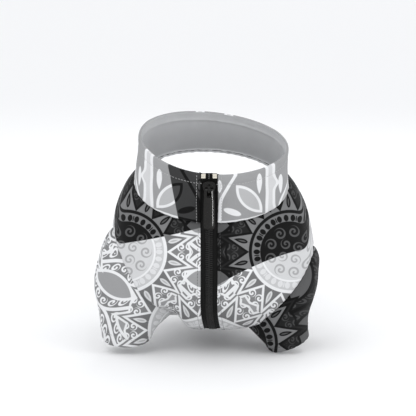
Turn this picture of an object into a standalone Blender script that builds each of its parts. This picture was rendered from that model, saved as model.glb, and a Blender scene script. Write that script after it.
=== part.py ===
"""Zip-front dog jacket, in the shape that it keeps while a small dog wears it.

Run it with blender --background --python part.py, or from Blender's text editor.
Metres, +Z up. The chest faces -Y, the hem is towards +Y and the dog's left is +X.
The origin is where the jacket rests on the withers: the inner face of the cloth at the top of
the neckline, on the middle line.

The cloth is cut like the real thing. One smooth surface round the trunk and one round the neck
are each read as (round, along): round is 0 at the zip and 1 at the middle of the back, and along
runs 0 to 1 from the neckline to the hem, or to the collar's top edge. Panels are outlines on it.
"""

import math
from collections import namedtuple

import bmesh
import bpy
import numpy as np
from mathutils import Matrix, Vector
from mathutils.geometry import delaunay_2d_cdt

# Trunk of the jacket
BACK_LENGTH = 0.250
BELLY_LENGTH = 0.165
CHEST_REACH = 0.101
CHEST_DEPTH = 0.177
CHEST_WIDTH = 0.193
NECK_WIDTH = 0.144
HEM_WIDTH = 0.160
ZIP_SWAY = 0.0050
SIDE_SEAM_AT_NECK = 0.66
SIDE_SEAM_AT_HEM = 0.60

# Stand collar
COLLAR_FRONT_HEIGHT = 0.052
COLLAR_BACK_HEIGHT = 0.046
COLLAR_FRONT_LEAN = math.radians(22)
COLLAR_BACK_LEAN = math.radians(33)
COLLAR_TOP_WIDTH = 0.138
COLLAR_SWAY = 0.0022
COLLAR_LIFT = 0.0042

# Cloth
CLOTH_WALL = 0.0018
COLLAR_WALL = 0.0026
SEAM_GAP = 0.0011
ARMHOLE_GAP = 0.0004
CUT_SPACING = 0.0118
SLEEVE_SIDES = 30
SLEEVE_RINGS = 8

# Armholes, as lengths on the cloth
ARMHOLE_LENGTH = 0.134
ARMHOLE_BREADTH = 0.076
ARMHOLE_CENTRE_ROUND = 0.094
ARMHOLE_CENTRE_ALONG = 0.108
ARMHOLE_TILT = math.radians(19)

# Zip: a tape each side of a closed chain, a slider with a bridge, and a pull that hangs from it
ZIP_OPENING = 0.0162
TAPE_WALL = 0.0010
TAPE_SINK = 0.0006
TAPE_CLEARANCE = 0.0009
CHAIN_WIDTH = 0.0060
CHAIN_HEIGHT = 0.0024
CROWN_RADIUS = 0.060
SLIDER_LENGTH = 0.0155
SLIDER_WIDTH = 0.0125
SLIDER_FROM_TOP = 0.0055
CLIP_PLATE = 0.0012
CLIP_CLEARANCE = 0.0004
WEDGE_WIDTH = 0.0034
WEDGE_LENGTH = 0.0030
BRIDGE_LENGTH = 0.0085
BRIDGE_WIDTH = 0.0024
BRIDGE_RISE = 0.0042
BRIDGE_WIRE = 0.0012
PULL_WIDTH = 0.0105
PULL_LENGTH = 0.0385
PULL_WALL = 0.0016
PULL_EYE_WIDTH = 0.0042
PULL_EYE_LENGTH = 0.0066
STOP_WIDTH = 0.0040
STOP_LENGTH = 0.0045
RETAINER_WIDTH = 0.0096
RETAINER_LENGTH = 0.0080
RETAINER_POST = 0.0016

# The trunk, a row per section from the neckline to the hem. Each section leans from its top point,
# on the back, to its low point, on the zip. Fullness moves its widest place towards the low point.
Section = namedtuple(
    "Section", "top_y top_z low_y low_z width squareness fullness zip_x sway lift"
)
TORSO = (
    Section(0.00 * BACK_LENGTH, 0.000 * CHEST_DEPTH, -0.92 * CHEST_REACH, -0.332 * CHEST_DEPTH,
            1.00 * NECK_WIDTH, 2.05, -0.03, 0.0, COLLAR_SWAY, 0.6 * COLLAR_LIFT),
    Section(0.05 * BACK_LENGTH, 0.012 * CHEST_DEPTH, -1.00 * CHEST_REACH, -0.48 * CHEST_DEPTH,
            0.88 * CHEST_WIDTH, 2.15, 0.05, 0.0, COLLAR_SWAY, 0.4 * COLLAR_LIFT),
    Section(0.12 * BACK_LENGTH, 0.012 * CHEST_DEPTH, -0.99 * CHEST_REACH, -0.65 * CHEST_DEPTH,
            0.96 * CHEST_WIDTH, 2.25, 0.12, 0.0, COLLAR_SWAY, 0.2 * COLLAR_LIFT),
    Section(0.19 * BACK_LENGTH, 0.006 * CHEST_DEPTH, -0.83 * CHEST_REACH, -0.83 * CHEST_DEPTH,
            1.01 * CHEST_WIDTH, 2.35, 0.20, 0.0, 1.5 * COLLAR_SWAY, 0.0),
    Section(0.27 * BACK_LENGTH, 0.000 * CHEST_DEPTH, -0.48 * CHEST_REACH, -0.965 * CHEST_DEPTH,
            1.01 * CHEST_WIDTH, 2.35, 0.22, 0.6 * ZIP_SWAY, 1.5 * COLLAR_SWAY, 0.0),
    Section(0.38 * BACK_LENGTH, -0.012 * CHEST_DEPTH, 0.00 * BELLY_LENGTH, -1.00 * CHEST_DEPTH,
            0.96 * CHEST_WIDTH, 2.35, 0.18, 1.0 * ZIP_SWAY, 0.5 * COLLAR_SWAY, 0.0),
    Section(0.52 * BACK_LENGTH, -0.030 * CHEST_DEPTH, 0.30 * BELLY_LENGTH, -0.985 * CHEST_DEPTH,
            0.92 * CHEST_WIDTH, 2.35, 0.12, 0.7 * ZIP_SWAY, 0.0, 0.0),
    Section(0.68 * BACK_LENGTH, -0.048 * CHEST_DEPTH, 0.57 * BELLY_LENGTH, -0.94 * CHEST_DEPTH,
            0.50 * CHEST_WIDTH + 0.46 * HEM_WIDTH, 2.30, 0.08, 0.3 * ZIP_SWAY, 0.0, 0.0),
    Section(0.84 * BACK_LENGTH, -0.072 * CHEST_DEPTH, 0.80 * BELLY_LENGTH, -0.88 * CHEST_DEPTH,
            0.20 * CHEST_WIDTH + 0.80 * HEM_WIDTH, 2.25, 0.06, 0.0, 0.0, 0.0),
    Section(1.00 * BACK_LENGTH, -0.100 * CHEST_DEPTH, 1.00 * BELLY_LENGTH, -0.82 * CHEST_DEPTH,
            1.00 * HEM_WIDTH, 2.20, 0.04, 0.0, 0.0, 0.0),
)

# The collar, a row per section, by its rise from the neckline (0) to the top edge (1)
CollarRow = namedtuple("CollarRow", "rise width squareness fullness belly sway lift")
COLLAR = (
    CollarRow(0.00, 1.00 * NECK_WIDTH, 2.05, -0.03, 0.000, 1.0 * COLLAR_SWAY, 0.6 * COLLAR_LIFT),
    CollarRow(0.30, 0.35 * NECK_WIDTH + 0.66 * COLLAR_TOP_WIDTH,
              2.05, -0.04, 0.000, 1.3 * COLLAR_SWAY, 0.9 * COLLAR_LIFT),
    CollarRow(0.70, 0.10 * NECK_WIDTH + 0.90 * COLLAR_TOP_WIDTH,
              2.00, -0.06, 0.008, 1.7 * COLLAR_SWAY, 1.2 * COLLAR_LIFT),
    CollarRow(1.00, 1.00 * COLLAR_TOP_WIDTH,
              1.95, -0.08, 0.000, 2.0 * COLLAR_SWAY, 1.4 * COLLAR_LIFT),
)

# The sleeves. The dog stands a little uneven, so each cuff has its own place, size and slopes.
Leg = namedtuple(
    "Leg", "name side hole_round hole_along cuff_out cuff_fore cuff_down cuff_width cuff_depth"
    " splay dip flare"
)
CUFF_OUT = 0.078
CUFF_FORE = 0.036
CUFF_DOWN = 0.184
CUFF_WIDTH = 0.042
CUFF_DEPTH = 0.047
LEGS = (
    Leg("left", 1, 1.00 * ARMHOLE_CENTRE_ROUND, 1.00 * ARMHOLE_CENTRE_ALONG,
        1.01 * CUFF_OUT, 1.0 * CUFF_FORE, 1.005 * CUFF_DOWN, 0.97 * CUFF_WIDTH, 0.95 * CUFF_DEPTH,
        math.radians(20), math.radians(7), 0.55),
    Leg("right", -1, 1.09 * ARMHOLE_CENTRE_ROUND, 0.85 * ARMHOLE_CENTRE_ALONG,
        1.03 * CUFF_OUT, 1.0 * CUFF_FORE, 0.975 * CUFF_DOWN, 1.12 * CUFF_WIDTH, 1.05 * CUFF_DEPTH,
        math.radians(-1), math.radians(14), 0.50),
)

# Soft folds: a ridge (or, with a negative height, a dent) from one point of the cloth to another,
# as shares of half the girth and of the length. Side 1 is the dog's left, -1 its right, 0 both.
Fold = namedtuple("Fold", "side from_round from_along to_round to_along half_width height")
FOLD_WIDTH = 0.0085
FOLD_HEIGHT = 0.0030
ZIP_CALM = 0.022
TORSO_FOLDS = (
    Fold(0, 0.12, 0.40, 0.05, 0.56, 1.0 * FOLD_WIDTH, -0.8 * FOLD_HEIGHT),
    Fold(0, 0.16, 0.52, 0.10, 0.72, 1.0 * FOLD_WIDTH, 0.8 * FOLD_HEIGHT),
    Fold(0, 0.54, 0.36, 0.78, 0.30, 1.2 * FOLD_WIDTH, -0.8 * FOLD_HEIGHT),
    Fold(0, 0.50, 0.50, 0.74, 0.56, 1.4 * FOLD_WIDTH, -1.0 * FOLD_HEIGHT),
    Fold(0, 0.42, 0.58, 0.48, 0.84, 1.3 * FOLD_WIDTH, 0.9 * FOLD_HEIGHT),
    Fold(0, 0.86, 0.14, 1.00, 0.20, 1.4 * FOLD_WIDTH, -0.8 * FOLD_HEIGHT),
    Fold(-1, 0.12, 0.24, 0.12, 0.46, 2.7 * FOLD_WIDTH, -4.6 * FOLD_HEIGHT),
)
SLEEVE_FOLDS = (
    Fold(0, -0.10, 0.26, 0.62, 0.40, 0.9 * FOLD_WIDTH, -0.9 * FOLD_HEIGHT),
    Fold(0, -0.62, 0.44, -0.10, 0.52, 0.8 * FOLD_WIDTH, 0.7 * FOLD_HEIGHT),
    Fold(0, -0.30, 0.72, 0.40, 0.78, 0.8 * FOLD_WIDTH, -0.7 * FOLD_HEIGHT),
)

COLOURS = {
    "print_light": ((0.66, 0.66, 0.67), 0.75, 0.0),
    "print_dark": ((0.10, 0.10, 0.105), 0.75, 0.0),
    "tape": ((0.012, 0.012, 0.013), 0.85, 0.0),
    "coil": ((0.015, 0.015, 0.016), 0.45, 0.0),
    "black_metal": ((0.02, 0.019, 0.018), 0.25, 0.6),
    "bright_metal": ((0.75, 0.72, 0.65), 0.25, 1.0),
}


def curve_through(knots, rows, at):
    """The rows' values at a place between the knots, on one smooth curve through them all."""
    k = min(max(int(np.searchsorted(knots, at) - 1), 0), len(knots) - 2)

    def slope(i):
        low, high = max(i - 1, 0), min(i + 1, len(knots) - 1)
        return (rows[high] - rows[low]) / (knots[high] - knots[low])

    span = knots[k + 1] - knots[k]
    t = (at - knots[k]) / span
    return (
        (2 * t**3 - 3 * t**2 + 1) * rows[k]
        + (t**3 - 2 * t**2 + t) * span * slope(k)
        + (3 * t**2 - 2 * t**3) * rows[k + 1]
        + (t**3 - t**2) * span * slope(k + 1)
    )


def softened(value, squareness):
    """A sine or cosine pushed outwards, so that a section is a little squarer than an ellipse."""
    return math.copysign(abs(value) ** (2 / squareness), value)


def ridge(distance_round, distance_along, fold, half_girth, length):
    """How far a fold lifts the cloth at a place given as lengths on the cloth."""
    start = np.array((fold.from_round * half_girth, fold.from_along * length))
    end = np.array((fold.to_round * half_girth, fold.to_along * length))
    here = np.array((distance_round, distance_along))
    run = end - start
    share = float(np.clip((here - start) @ run / (run @ run), 0, 1))
    off = np.linalg.norm(here - start - share * run)
    fade = math.sin(math.pi * (0.15 + 0.7 * share))
    return fold.height * fade * math.exp(-((off / fold.half_width) ** 2))


class Surface:
    """A smooth surface through sections, read as (round, along)."""

    def __init__(self, sections, folds=()):
        self.rows = np.array(sections, float)
        top, low = self.rows[:, 0:2], self.rows[:, 2:4]
        steps = 0.5 * (
            np.linalg.norm(np.diff(top, axis=0), axis=1)
            + np.linalg.norm(np.diff(low, axis=0), axis=1)
        )
        self.length = float(steps.sum())
        self.knots = np.concatenate(([0.0], np.cumsum(steps))) / self.length
        widest = self.rows[np.argmax(self.rows[:, 4])]
        across, down = widest[4] / 2, math.hypot(widest[2] - widest[0], widest[3] - widest[1]) / 2
        self.half_girth = math.pi * math.sqrt((across**2 + down**2) / 2)
        self.folds = folds

    def section(self, along):
        return curve_through(self.knots, self.rows, along)

    def bare_point(self, around, along):
        """A point before the folds are put in."""
        section = Section(*self.section(along))
        top_y, top_z, low_y, low_z, width, squareness, fullness, zip_x, sway, lift = section
        angle = math.pi * around
        across = softened(math.sin(angle), squareness)
        down = softened(math.cos(angle), squareness)
        down += fullness * (1 - down * down)
        return Vector((
            zip_x + sway * math.sin(angle) ** 2 + across * width / 2,
            (top_y + low_y) / 2 + down * (low_y - top_y) / 2,
            CLOTH_WALL + (top_z + low_z) / 2 + down * (low_z - top_z) / 2 - lift * across,
        ))

    def normal(self, around, along):
        """The direction out of the cloth, away from the dog."""
        step = 0.004
        side = self.bare_point(around + step, along) - self.bare_point(around - step, along)
        low, high = max(along - step, 0.0), min(along + step, 1.0)
        down = self.bare_point(around, high) - self.bare_point(around, low)
        return down.cross(side).normalized()

    def point(self, around, along):
        place = self.bare_point(around, along)
        around = (around + 1) % 2 - 1
        where = abs(around) * self.half_girth, along * self.length
        lift = sum(
            ridge(*where, fold, self.half_girth, self.length)
            for fold in self.folds
            if fold.side * around >= 0
        )
        beside = (abs(around) * self.half_girth - ZIP_OPENING / 2) / ZIP_CALM
        lift *= min(max(beside, 0), 1) ** 2
        return place + self.normal(around, along) * lift if lift else place

    def round_at(self, offset, along):
        """The round value of a place that lies so far beside the zip's middle line."""
        section = Section(*self.section(along))
        share = min(2 * offset / section.width, 1.0)
        return math.asin(share ** (section.squareness / 2)) / math.pi


def collar_sections():
    """The collar's sections, which stand on the neckline and lean forwards with the neck."""
    neck = TORSO[0]
    front_way = (-math.sin(COLLAR_FRONT_LEAN), math.cos(COLLAR_FRONT_LEAN))
    back_way = (-math.sin(COLLAR_BACK_LEAN), math.cos(COLLAR_BACK_LEAN))
    sections = []
    for row in COLLAR:
        front, back = row.rise * COLLAR_FRONT_HEIGHT, row.rise * COLLAR_BACK_HEIGHT
        sections.append(Section(
            neck.top_y + back * back_way[0], neck.top_z + back * back_way[1],
            neck.low_y + front * front_way[0] - row.belly * NECK_WIDTH,
            neck.low_z + front * front_way[1],
            row.width, row.squareness, row.fullness, 0.0, row.sway, row.lift,
        ))
    return sections


TRUNK = Surface(TORSO, TORSO_FOLDS)
NECK = Surface(collar_sections())


def paint(obj, colour):
    """Gives an object its material."""
    material = bpy.data.materials.get(colour)
    if material is None:
        base, roughness, metallic = COLOURS[colour]
        material = bpy.data.materials.new(colour)
        material.use_nodes = True
        shader = material.node_tree.nodes["Principled BSDF"]
        shader.inputs["Base Color"].default_value = (*base, 1.0)
        shader.inputs["Roughness"].default_value = roughness
        shader.inputs["Metallic"].default_value = metallic
    obj.data.materials.append(material)


def add_mesh(name, points, faces, collection, colour=None):
    mesh = bpy.data.meshes.new(name)
    mesh.from_pydata([tuple(p) for p in points], [], faces)
    mesh.shade_smooth()
    obj = bpy.data.objects.new(name, mesh)
    collection.objects.link(obj)
    if colour:
        paint(obj, colour)
    return obj


def add_wall(obj, wall):
    """Gives an open sheet its thickness, inwards from the face that shows."""
    solidify = obj.modifiers.new("cloth wall", "SOLIDIFY")
    solidify.thickness = wall
    solidify.offset = -1
    return obj


def spaced(ends, spacing):
    """Points along a run of straight lines, both ends of each line included once."""
    points = []
    for start, end in zip(ends[:-1], ends[1:]):
        count = max(1, round(math.dist(start, end) / spacing))
        points += [
            tuple(s + (e - s) * i / count for s, e in zip(start, end)) for i in range(count)
        ]
    return points


def inside(point, loop):
    """Whether a flat point lies in a closed loop."""
    x, y = point
    found = False
    for (ax, ay), (bx, by) in zip(loop, loop[1:] + loop[:1]):
        if (ay > y) != (by > y) and x < (bx - ax) * (y - ay) / (by - ay) + ax:
            found = not found
    return found


def clear_of(point, loops, margin):
    return all(math.dist(point, corner) > margin for loop in loops for corner in loop)


def cut_cloth(outline, holes, spacing):
    """Triangles over a flat outline with holes: (points, faces), evenly spaced inside."""
    loops = [outline, *holes]
    points = [p for loop in loops for p in loop]
    edges, start = [], 0
    for loop in loops:
        edges += [(start + i, start + (i + 1) % len(loop)) for i in range(len(loop))]
        start += len(loop)
    xs, ys = zip(*outline)
    rise = spacing * math.sqrt(3) / 2
    for row in range(int((max(ys) - min(ys)) / rise) + 1):
        for column in range(int((max(xs) - min(xs)) / spacing) + 2):
            spot = (
                min(xs) + (column + 0.5 * (row % 2)) * spacing,
                min(ys) + (row + 0.5) * rise,
            )
            if inside(spot, outline) and not any(inside(spot, hole) for hole in holes):
                if clear_of(spot, loops, 0.55 * spacing):
                    points.append(spot)
    flat, _, faces, *_ = delaunay_2d_cdt([Vector(p) for p in points], edges, [], 0, 1e-7)
    kept = []
    for face in faces:
        a, b, c = (flat[i] for i in face)
        middle = (a + b + c) / 3
        thin = abs((b - a).cross(c - a)) < 0.01 * spacing**2
        if not thin and inside(middle, outline) and not any(inside(middle, h) for h in holes):
            kept.append(tuple(face))
    return flat, kept


def add_panel(name, surface, outline, holes, side, colour, wall, collection):
    """One cloth panel: an outline on a surface, given as lengths on the cloth, with its wall."""
    flat, faces = cut_cloth(outline, holes, CUT_SPACING)
    points = [
        surface.point(side * p.x / surface.half_girth, p.y / surface.length) for p in flat
    ]
    first = faces[0]
    facing = (points[first[1]] - points[first[0]]).cross(points[first[2]] - points[first[0]])
    middle = flat[first[0]]
    outward = surface.normal(side * middle.x / surface.half_girth, middle.y / surface.length)
    if facing.dot(outward) < 0:
        faces = [face[::-1] for face in faces]
    return add_wall(add_mesh(name, points, faces, collection, colour), wall)


def armhole(leg, inset):
    """The armhole's loop on the trunk, as lengths on the cloth, made smaller by an inset."""
    long, broad = ARMHOLE_LENGTH / 2 - inset, ARMHOLE_BREADTH / 2 - inset
    loop = []
    for i in range(SLEEVE_SIDES):
        angle = 2 * math.pi * i / SLEEVE_SIDES
        x, y = long * math.cos(angle), broad * math.sin(angle)
        loop.append((
            leg.hole_round + x * math.cos(ARMHOLE_TILT) + y * math.sin(ARMHOLE_TILT),
            leg.hole_along - x * math.sin(ARMHOLE_TILT) + y * math.cos(ARMHOLE_TILT),
        ))
    return loop


def side_seam(along):
    """Where the side seam runs, as a length round from the zip."""
    share = SIDE_SEAM_AT_NECK + (SIDE_SEAM_AT_HEM - SIDE_SEAM_AT_NECK) * along
    return share * TRUNK.half_girth


def make_front(leg, colour, collection):
    """Front panel: from the zip round to the side seam, with the armhole cut out of it."""
    gap = SEAM_GAP / 2
    length = TRUNK.length

    def zip_edge(along):
        return TRUNK.round_at(ZIP_OPENING / 2, along) * TRUNK.half_girth

    steps = round(length / CUT_SPACING)
    shares = [gap / length + (1 - gap / length) * i / steps for i in range(steps + 1)]
    neckline = spaced([(zip_edge(0), gap), (side_seam(0) - gap, gap)], CUT_SPACING)
    seam = [(side_seam(s) - gap, s * length) for s in shares[:-1]]
    hem = spaced([(side_seam(1) - gap, length), (zip_edge(1), length)], CUT_SPACING)
    zip_side = [(zip_edge(s), s * length) for s in reversed(shares[1:])]
    outline = neckline + seam + hem + zip_side
    return add_panel(
        "front_" + leg.name, TRUNK, outline, [armhole(leg, -ARMHOLE_GAP / 2)], leg.side, colour,
        CLOTH_WALL, collection,
    )


def make_back(collection):
    """Back panel: over the back from one side seam to the other."""
    gap = SEAM_GAP / 2
    length = TRUNK.length
    whole = 2 * TRUNK.half_girth
    steps = round(length / CUT_SPACING)
    shares = [gap / length + (1 - gap / length) * i / steps for i in range(steps + 1)]
    neckline = spaced(
        [(side_seam(0) + gap, gap), (whole - side_seam(0) - gap, gap)], CUT_SPACING
    )
    far = [(whole - side_seam(s) - gap, s * length) for s in shares[:-1]]
    hem = spaced(
        [(whole - side_seam(1) - gap, length), (side_seam(1) + gap, length)], CUT_SPACING
    )
    near = [(side_seam(s) + gap, s * length) for s in reversed(shares[1:])]
    return add_panel(
        "back_panel", TRUNK, neckline + far + hem + near, [], 1, "print_dark", CLOTH_WALL, collection
    )


def make_collar(collection):
    """Stand collar: once round the neck, from one side of the zip to the other."""
    gap = SEAM_GAP / 2
    length = NECK.length

    def zip_edge(along):
        return NECK.round_at(ZIP_OPENING / 2, along) * NECK.half_girth

    whole = 2 * NECK.half_girth
    low, high = gap, length
    foot = spaced([(zip_edge(0), low), (whole - zip_edge(0), low)], CUT_SPACING)
    far = spaced([(whole - zip_edge(0), low), (whole - zip_edge(1), high)], CUT_SPACING)
    top = spaced([(whole - zip_edge(1), high), (zip_edge(1), high)], CUT_SPACING)
    near = spaced([(zip_edge(1), high), (zip_edge(0), low)], CUT_SPACING)
    return add_panel(
        "collar", NECK, foot + far + top + near, [], 1, "print_light", COLLAR_WALL, collection
    )


def cuff_point(leg, angle):
    """A point of the sleeve's lower edge. Angle 0 is outwards and a quarter turn is rearwards."""
    out = Vector((math.cos(leg.splay), 0, math.sin(leg.splay)))
    rear = Vector((0, math.cos(leg.dip), math.sin(leg.dip)))
    place = (
        Vector((leg.cuff_out, -leg.cuff_fore, -leg.cuff_down))
        + out * math.cos(angle) * leg.cuff_width / 2
        + rear * math.sin(angle) * leg.cuff_depth / 2
    )
    return Vector((leg.side * place.x, place.y, place.z))


class Sleeve:
    """A sleeve's surface, from the armhole's loop on the trunk to the cuff."""

    def __init__(self, leg, inset):
        self.leg = leg
        loop = armhole(leg, inset)
        self.top = [
            TRUNK.point(leg.side * p / TRUNK.half_girth, q / TRUNK.length) for p, q in loop
        ]
        self.low = [cuff_point(leg, 2 * math.pi * i / SLEEVE_SIDES) for i in range(SLEEVE_SIDES)]
        self.top_middle = sum(self.top, Vector()) / SLEEVE_SIDES
        self.low_middle = sum(self.low, Vector()) / SLEEVE_SIDES
        out = Vector((leg.side * math.cos(leg.splay), 0, math.sin(leg.splay)))
        rear = Vector((0, math.cos(leg.dip), math.sin(leg.dip)))
        self.leg_way = leg.side * rear.cross(out).normalized()
        if self.leg_way.z > 0:
            self.leg_way.negate()
        self.length = (self.low_middle - self.top_middle).length
        self.half_girth = math.pi * (ARMHOLE_LENGTH + CUFF_WIDTH) / 4

    def point(self, i, share):
        """The point of side i at a share of the way down, folds included."""
        start, end = self.top[i], self.low[i]
        chord = (end - start).length
        turn = math.cos(2 * math.pi * i / SLEEVE_SIDES)
        axis = (self.low_middle - self.top_middle).normalized()
        spoke = start - self.top_middle
        spoke = (spoke - axis * spoke.dot(axis)).normalized()
        lean = self.leg.flare * (0.5 + turn) - 0.30 * (1 - turn)
        first = (axis + spoke * lean).normalized() * chord
        rim = (end - self.low_middle).normalized()
        last = (self.leg_way - rim * 0.22).normalized() * chord
        t = share
        place = (
            (2 * t**3 - 3 * t**2 + 1) * start
            + (t**3 - 2 * t**2 + t) * first
            + (3 * t**2 - 2 * t**3) * end
            + (t**3 - t**2) * last
        )
        around = (i / SLEEVE_SIDES * 2 + 1) % 2 - 1
        lift = sum(
            ridge(around * self.half_girth, t * self.length, fold, self.half_girth, self.length)
            for fold in SLEEVE_FOLDS
        )
        centre = self.top_middle.lerp(self.low_middle, t)
        away = place - centre
        away = (away - axis * away.dot(axis)).normalized()
        return place + away * lift


def make_sleeve(leg, colour, collection):
    """Sleeve: a tube from the armhole to the cuff, open at both ends."""
    sleeve = Sleeve(leg, ARMHOLE_GAP / 2)
    points = [
        sleeve.point(i, ring / SLEEVE_RINGS)
        for ring in range(SLEEVE_RINGS + 1)
        for i in range(SLEEVE_SIDES)
    ]
    faces = []
    for ring in range(SLEEVE_RINGS):
        for i in range(SLEEVE_SIDES):
            j = (i + 1) % SLEEVE_SIDES
            a, b = ring * SLEEVE_SIDES + i, ring * SLEEVE_SIDES + j
            quad = (a, b, b + SLEEVE_SIDES, a + SLEEVE_SIDES)
            faces.append(quad if leg.side < 0 else quad[::-1])
    return add_wall(
        add_mesh("sleeve_" + leg.name, points, faces, collection, colour), CLOTH_WALL
    )


Station = namedtuple("Station", "place across out way")
ZIP_STEP = 0.0075
ZIP_SMOOTHING = 3


def zip_stations():
    """Places down the zip's middle line from the collar's top to the hem, with their directions."""
    up = round(NECK.length / ZIP_STEP)
    down = round(TRUNK.length / ZIP_STEP)
    line = [NECK.point(0, 1 - i / up) for i in range(up)]
    line += [TRUNK.bare_point(0, i / down) for i in range(down + 1)]
    for _ in range(ZIP_SMOOTHING):
        line = (
            [line[0]]
            + [(a + 2 * b + c) / 4 for a, b, c in zip(line, line[1:], line[2:])]
            + [line[-1]]
        )
    stations = []
    for i, place in enumerate(line):
        way = (line[min(i + 1, len(line) - 1)] - line[max(i - 1, 0)]).normalized()
        out = way.cross(Vector((1, 0, 0))).normalized()
        stations.append(Station(place, out.cross(way).normalized(), out, way))
    return stations


def crowned(station, offset, height):
    """A place beside the zip's middle line, on the crown of the chest."""
    return (
        station.place
        + station.across * offset
        + station.out * (height - offset * offset / (2 * CROWN_RADIUS))
    )


def sweep(name, stations, profile, colour, collection):
    """A solid strip down the zip: a closed profile of (offset, height) at every station."""
    points = [crowned(s, offset, height) for s in stations for offset, height in profile]
    n = len(profile)
    faces = [tuple(range(n)), tuple(reversed(range(len(points) - n, len(points))))]
    for ring in range(len(stations) - 1):
        for i in range(n):
            j = (i + 1) % n
            faces.append((ring * n + i, (ring + 1) * n + i, (ring + 1) * n + j, ring * n + j))
    obj = add_mesh(name, points, faces, collection, colour)
    mesh = bmesh.new()
    mesh.from_mesh(obj.data)
    bmesh.ops.recalc_face_normals(mesh, faces=mesh.faces)
    mesh.to_mesh(obj.data)
    mesh.free()
    obj.data.set_sharp_from_angle(angle=math.radians(40))
    return obj


def strip(inner, outer, low, high):
    """A strip's profile, from inner to outer beside the middle line."""
    return [(inner, low), (outer, low), (outer, high), (inner, high)]


def make_tapes(stations, collection):
    """Zip tape: a woven strip each side of the chain, set just under the panels' faces."""
    inner = CHAIN_WIDTH / 2 + CLIP_CLEARANCE
    outer = ZIP_OPENING / 2 - TAPE_CLEARANCE
    low, high = -TAPE_SINK - TAPE_WALL, -TAPE_SINK
    for name, side in (("left", 1), ("right", -1)):
        profile = strip(side * inner, side * outer, low, high)
        sweep("zip_tape_" + name, stations, profile, "tape", collection)


def chain_middle():
    """Height of the chain's middle plane, which is the tape's."""
    return -TAPE_SINK - TAPE_WALL / 2


def make_chain(stations, collection):
    """Closed chain of coil teeth, one rounded bar down the middle."""
    wide, tall, middle = CHAIN_WIDTH / 2, CHAIN_HEIGHT / 2, chain_middle()
    profile = [
        (wide * math.cos(a), middle + tall * math.sin(a))
        for a in (2 * math.pi * (i + 0.5) / 8 for i in range(8))
    ]
    wedge_foot = SLIDER_FROM_TOP + WEDGE_LENGTH + CLIP_CLEARANCE
    first = math.ceil(wedge_foot / ZIP_STEP)
    last = len(stations) - math.ceil(RETAINER_LENGTH / 2 / ZIP_STEP)
    sweep("zip_chain", stations[first:last], profile, "coil", collection)


def station_matrix(station, height):
    """A frame on the zip: X across, Y up towards the collar, Z out of the chest."""
    columns = (station.across, -station.way, station.out)
    matrix = Matrix([[c[r] for c in columns] for r in range(3)]).to_4x4()
    matrix.translation = station.place + station.out * height
    return matrix


def box(name, size, centre, collection, bevel=0.0):
    """A rectangular block, its edges rounded where a bevel is given."""
    mesh = bpy.data.meshes.new(name)
    shape = bmesh.new()
    bmesh.ops.create_cube(shape, size=1.0)
    bmesh.ops.scale(shape, vec=size, verts=shape.verts)
    bmesh.ops.translate(shape, vec=centre, verts=shape.verts)
    if bevel:
        bmesh.ops.bevel(
            shape, geom=shape.edges[:], offset=bevel, segments=2, affect="EDGES", profile=0.5
        )
    shape.to_mesh(mesh)
    shape.free()
    obj = bpy.data.objects.new(name, mesh)
    collection.objects.link(obj)
    return obj


def combine(obj, other, operation):
    """Joins or cuts with a Boolean, and leaves the other shape as a hidden helper."""
    boolean = obj.modifiers.new(operation.lower(), "BOOLEAN")
    boolean.operation = operation
    boolean.object = other
    other.hide_render = True
    other.display_type = "WIRE"


def clip(name, station, size, post, parts, cutters):
    """Two plates that close round the chain, one each side, with a post between them at one end."""
    width, length = size
    post_width, post_length, end = post
    frame = station_matrix(station, chain_middle())
    middle = CHAIN_HEIGHT / 2 + CLIP_CLEARANCE + CLIP_PLATE / 2
    plate = (width, length, CLIP_PLATE)
    body = box(name, plate, (0, 0, middle), parts, bevel=0.25 * CLIP_PLATE)
    back = box(name + "_back", plate, (0, 0, -middle), cutters, bevel=0.25 * CLIP_PLATE)
    post_y = end * (length - post_length) / 2
    post_size = (post_width, post_length - 0.5 * CLIP_PLATE, 2 * middle)
    link = box(name + "_post", post_size, (0, post_y, 0), cutters)
    for shape in (body, back, link):
        shape.matrix_world = frame
    combine(body, back, "UNION")
    combine(body, link, "UNION")
    paint(body, "black_metal")
    return body, frame, middle + CLIP_PLATE / 2


def make_slider(stations, parts, cutters):
    """Slider: a clip with its post at the top, and a bridge on its front. Gives the bridge's eye."""
    index = round((SLIDER_FROM_TOP + SLIDER_LENGTH / 2) / ZIP_STEP)
    slider, frame, face = clip(
        "zip_slider", stations[index], (SLIDER_WIDTH, SLIDER_LENGTH),
        (WEDGE_WIDTH, WEDGE_LENGTH, 1), parts, cutters,
    )
    sunk = CLIP_PLATE / 2
    bridge = box(
        "slider_bridge", (BRIDGE_WIDTH, BRIDGE_LENGTH, BRIDGE_RISE + sunk),
        (0, 0, face + (BRIDGE_RISE - sunk) / 2), cutters, bevel=0.3 * BRIDGE_WIRE,
    )
    window_height = BRIDGE_RISE - BRIDGE_WIRE
    window = box(
        "bridge_window", (2 * BRIDGE_WIDTH, BRIDGE_LENGTH - 2 * BRIDGE_WIRE, window_height),
        (0, 0, face + window_height / 2), cutters,
    )
    for shape in (bridge, window):
        shape.matrix_world = frame
    combine(bridge, window, "DIFFERENCE")
    combine(slider, bridge, "UNION")
    return frame @ Vector((0, 0, face + window_height / 2))


def make_pull(axis, parts, cutters):
    """Pull: a flat tab whose eye goes round the bridge. It hangs plumb, its origin on its axis."""
    bar = PULL_WALL / 2
    pull = box(
        "zip_pull", (PULL_WIDTH, PULL_WALL, PULL_LENGTH),
        (0, 0, bar - PULL_LENGTH / 2), parts, bevel=0.28 * PULL_WALL,
    )
    eye = box(
        "pull_eye", (PULL_EYE_WIDTH, PULL_WALL * 3, PULL_EYE_LENGTH),
        (0, 0, -bar - PULL_EYE_LENGTH / 2), cutters,
    )
    for shape in (pull, eye):
        shape.location = axis
    combine(pull, eye, "DIFFERENCE")
    paint(pull, "black_metal")


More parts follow.
